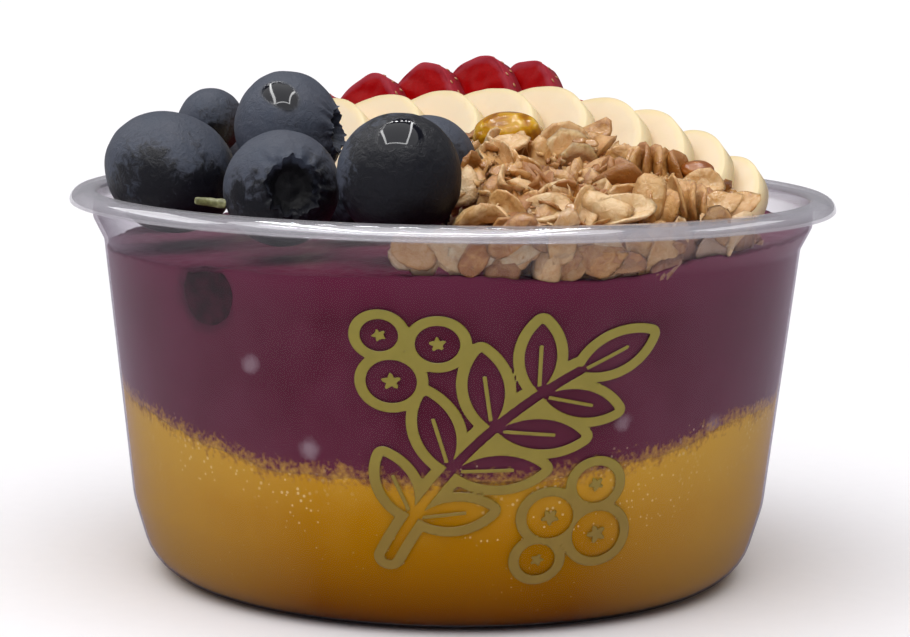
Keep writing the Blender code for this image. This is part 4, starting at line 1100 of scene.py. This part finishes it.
# ---------------------------------------------------------------- the golden raisin and other pieces
# A golden raisin lies on the heap before the banana, glossy with honey, and a piece of toasted almond
# at its right end. A bit of berry stem stuck to the acai at the left.
def nugget(middle, along, face, size, seed, wrinkle, fold):
    """A closed lump: a ball stretched along its own axes, with wrinkles that run along it. fold is how
    deep they are and wrinkle how long."""
    fall = np.linspace(0.0, math.pi, 40)
    ball = turned(np.stack([np.sin(fall), -np.cos(fall)], -1), 56)
    creased = fold * (np.abs(ripple(ball * (0.35, 1.0, 1.0), wrinkle, seed)) - 0.6)
    ball = ball * (1 + creased + 0.5 * fold * ripple(ball, wrinkle * 2.5, seed + 1))[..., None]
    ball[0], ball[-1] = ball[0].mean(0), ball[-1].mean(0)
    turned_to = frames_of(np.array([along], float), np.array([face], float))[0]
    return (ball * np.array(size) / 2) @ turned_to.T + middle


raisin = skin("golden_raisin", nugget(np.array([8.2, -12.2, 69.6]), (1, 0.1, -0.06), (0, -0.5, 0.8),
                                      (10.8, 7.6, 6.6), 5, 1.1, 0.07))
raisin_finish, tree, mm = new_finish("golden raisin")
flow = node(tree, "ShaderNodeTexNoise", {"Vector": mm, "Scale": 1 / 3.5, "Detail": 3.0, "Distortion": 0.6})
amber = node(tree, "ShaderNodeValToRGB", {0: flow.outputs[0]}, stops=[
    (0.30, "#8a5208"), (0.45, "#b0740f"), (0.58, "#cf9a1c"), (0.72, "#e2b840")])
relief = node(tree, "ShaderNodeBump", {"Height": flow.outputs[0], "Strength": 0.5, "Distance": 0.6 * MM})
raisin_shader = node(tree, "ShaderNodeBsdfPrincipled", {
    "Base Color": amber.outputs[0], "Roughness": 0.14, "Normal": relief.outputs[0],
    "Specular IOR Level": 0.3,
    "Subsurface Weight": 0.35, "Subsurface Radius": (1.0, 0.5, 0.1), "Subsurface Scale": 1.5 * MM})
node(tree, "ShaderNodeOutputMaterial", {0: raisin_shader.outputs[0]})
raisin.data.materials.append(raisin_finish)
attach(raisin, "root")

almond = skin("toasted_piece", nugget(np.array([36.2, -21.5, 65.2]), (1, 0.2, -0.15), (0, -0.3, 0.9),
                                      (5.2, 4.0, 2.8), 9, 1.2, 0.05))
almond_finish, tree, mm = new_finish("toasted almond skin")
flow = node(tree, "ShaderNodeTexNoise", {"Vector": mm, "Scale": 1 / 1.8, "Detail": 4.0})
brown = node(tree, "ShaderNodeValToRGB", {0: flow.outputs[0]}, stops=[
    (0.30, "#6b3303"), (0.52, "#8f4a08"), (0.75, "#b87328")])
almond_shader = node(tree, "ShaderNodeBsdfPrincipled", {"Base Color": brown.outputs[0], "Roughness": 0.32})
node(tree, "ShaderNodeOutputMaterial", {0: almond_shader.outputs[0]})
almond.data.materials.append(almond_finish)
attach(almond, "root")

# The stem is a short hollow stalk: a wall, an open end and a closed one.
profile = rounded([(0.0, -2.2), (0.55, -2.2), (0.66, 2.1), (0.32, 2.1), (0.26, 0.9), (0.0, 0.9)],
                  [0.2, 0.1, 0.06, 0.1], 3)
stalk = turned(finer(profile, 0.4), 20)
stalk *= (1 + 0.06 * ripple(stalk, 1.3, 77))[..., None] * (1, 1, 0) + (0, 0, 1)
stalk[..., 0] += 0.10 * stalk[..., 2] ** 2
stalk[..., :2] *= (1 - 0.12 * stalk[..., 2:])
stalk[0], stalk[-1] = stalk[0].mean(0), stalk[-1].mean(0)
stem = skin("berry_stem", stalk @ towards((-0.85, -0.35, 0.12)).T + np.array([-34.4, -42.0, 61.3]))
stem_finish, tree, mm = new_finish("green berry stem")
flow = node(tree, "ShaderNodeTexNoise", {"Vector": mm, "Scale": 1 / 0.9, "Detail": 3.0})
green = node(tree, "ShaderNodeValToRGB", {0: flow.outputs[0]}, stops=[
    (0.30, "#4c4b22"), (0.52, "#6f6f40"), (0.75, "#a3a276")])
stem_shader = node(tree, "ShaderNodeBsdfPrincipled", {"Base Color": green.outputs[0], "Roughness": 0.5})
node(tree, "ShaderNodeOutputMaterial", {0: stem_shader.outputs[0]})
stem.data.materials.append(stem_finish)
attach(stem, "root")

# Honey that ran together and set in clear beads on the flakes.
rng = np.random.default_rng(3)
bead_places = np.array([[16.2, -30.6, 64.3], [17.6, -30.9, 64.0], [19.0, -30.2, 64.4], [15.2, -30.4, 63.6],
                        [16.5, -45.6, 61.6], [20.4, -21.4, 69.0], [18.4, -21.0, 69.4], [12.0, -31.4, 63.6],
                        [24.2, -31.6, 64.0], [9.6, -36.4, 62.8], [28.0, -33.4, 62.6], [7.2, -33.8, 64.0]])
beads = many("honey_beads", turned(np.stack([0.5 * np.sin(np.linspace(0, math.pi, 9)),
                                             -0.5 * np.cos(np.linspace(0, math.pi, 9))], -1), 14),
             bead_places, frames_of(rng.normal(size=(12, 3)), np.tile([0, -0.5, 0.8], (12, 1))),
             rng.uniform(0.9, 1.9, (12, 1)) * np.array([1.5, 1.1, 0.4]), {})
honey_finish, tree, mm = new_finish("set honey")
flow = node(tree, "ShaderNodeTexNoise", {"Vector": mm, "Scale": 1 / 1.5, "Detail": 2.0})
gold = node(tree, "ShaderNodeMix", {0: flow.outputs[0], 6: linear("#9a6630"), 7: linear("#c3935a")},
            data_type="RGBA")
honey_shader = node(tree, "ShaderNodeBsdfPrincipled", {
    "Base Color": gold.outputs[2], "Roughness": 0.05, "IOR": 1.49})
node(tree, "ShaderNodeOutputMaterial", {0: honey_shader.outputs[0]})
beads.data.materials.append(honey_finish)
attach(beads, "root")


# ---------------------------------------------------------------- table, light and camera
# A plain pale table under soft even light, with a row of small lamps over the front, as over a counter.
floor = bpy.data.objects.new("table", bpy.data.meshes.new("table"))
floor.data.from_pydata([(-30, -30, 0), (30, -30, 0), (30, 30, 0), (-30, 30, 0)], [], [(0, 1, 2, 3)])
bpy.context.scene.collection.objects.link(floor)
table_finish, tree, mm = new_finish("matt white table")
grain = node(tree, "ShaderNodeTexNoise", {"Vector": mm, "Scale": 1 / 3, "Detail": 3.0}).outputs[0]
colour = node(tree, "ShaderNodeMix", {0: grain, 6: linear("#f6f4f6"), 7: linear("#f9f7f9")}, data_type="RGBA")
paint = node(tree, "ShaderNodeBsdfPrincipled", {"Base Color": colour.outputs[2], "Roughness": 0.9,
                                                "Specular IOR Level": 0.0})
node(tree, "ShaderNodeOutputMaterial", {0: paint.outputs[0]})
floor.data.materials.append(table_finish)

world = bpy.data.worlds.new("soft room")
world.use_nodes = True
world.node_tree.nodes["Background"].inputs["Color"].default_value = linear("#c6c6cb")
world.node_tree.nodes["Background"].inputs["Strength"].default_value = 0.32
bpy.context.scene.world = world


def lamp(name, kind, place, aim, power, size):
    """A white lamp at a place in metres, aimed at a point. size is a sun's angle or a panel's side."""
    light = bpy.data.lights.new(name, kind)
    light.energy = power
    if kind == "SUN":
        light.angle = size
    else:
        light.size = size
    item = bpy.data.objects.new(name, light)
    item.location = place
    item.rotation_euler = (Vector(aim) - Vector(place)).to_track_quat("-Z", "Y").to_euler()
    bpy.context.scene.collection.objects.link(item)
    return item


lamp("sky_panel", "SUN", (-0.12, -0.32, 1.0), (0, 0, 0), 3.1, math.radians(80))

# A frame of lamps overhead that only shows as glints: strips on three sides and a row of dots behind.
GLINT = 24.0
for name, place, sides in (("left", (-0.25, -0.055), (0.03, 0.66)), ("right", (0.15, -0.055), (0.03, 0.66)),
                           ("near", (-0.05, -0.385), (0.4, 0.03))):
    strip = lamp(f"strip_{name}", "AREA", (*place, 0.62), (*place, 0.0), math.pi * sides[0] * sides[1] * GLINT,
                 sides[0])
    strip.data.shape = "RECTANGLE"
    strip.data.size_y = sides[1]
    strip.rotation_euler = (0, 0, 0)
    strip.visible_diffuse = False
for number in range(9):
    dot = lamp(f"dot_{number}", "AREA", (-0.25 + 0.05 * number, 0.275, 0.62), (0, 0, 0),
               math.pi * 0.026 ** 2 * 2 * GLINT, 0.026)
    dot.rotation_euler = (0, 0, 0)
    dot.visible_diffuse = False

# Two broad soft panels to the sides. They show along the rim.
for name, place, sides, bright in (("left", (-0.50, 0.16, 0.42), (0.55, 0.22), 3.2),
                                   ("right", (0.48, 0.10, 0.36), (0.40, 0.12), 2.4)):
    panel = lamp(f"panel_{name}", "AREA", place, (0, 0, 0.06), math.pi * sides[0] * sides[1] * bright, sides[0])
    panel.data.shape = "RECTANGLE"
    panel.data.size_y = sides[1]
    panel.visible_diffuse = False

EYE = Vector((0.0, -0.4183, 0.0977))
LOOK_AT = Vector((0.0006, 0.0, 0.0394))
ROLL = math.radians(0.9)
ahead = (LOOK_AT - EYE).normalized()
right = ahead.cross(Vector((0, 0, 1))).normalized()
upward = right.cross(ahead)
across = right * math.cos(ROLL) + upward * math.sin(ROLL)
upright = upward * math.cos(ROLL) - right * math.sin(ROLL)
camera = bpy.data.objects.new("camera", bpy.data.cameras.new("camera"))
camera.data.lens = 106.0
camera.data.sensor_width = 36.0
camera.data.clip_start = 0.01
camera.matrix_world = Matrix.Translation(EYE) @ Matrix((across, upright, -ahead)).transposed().to_4x4()
bpy.context.scene.collection.objects.link(camera)
bpy.context.scene.camera = camera
bpy.context.scene.view_settings.view_transform = "Standard"
bpy.context.scene.cycles.transparent_max_bounces = 24
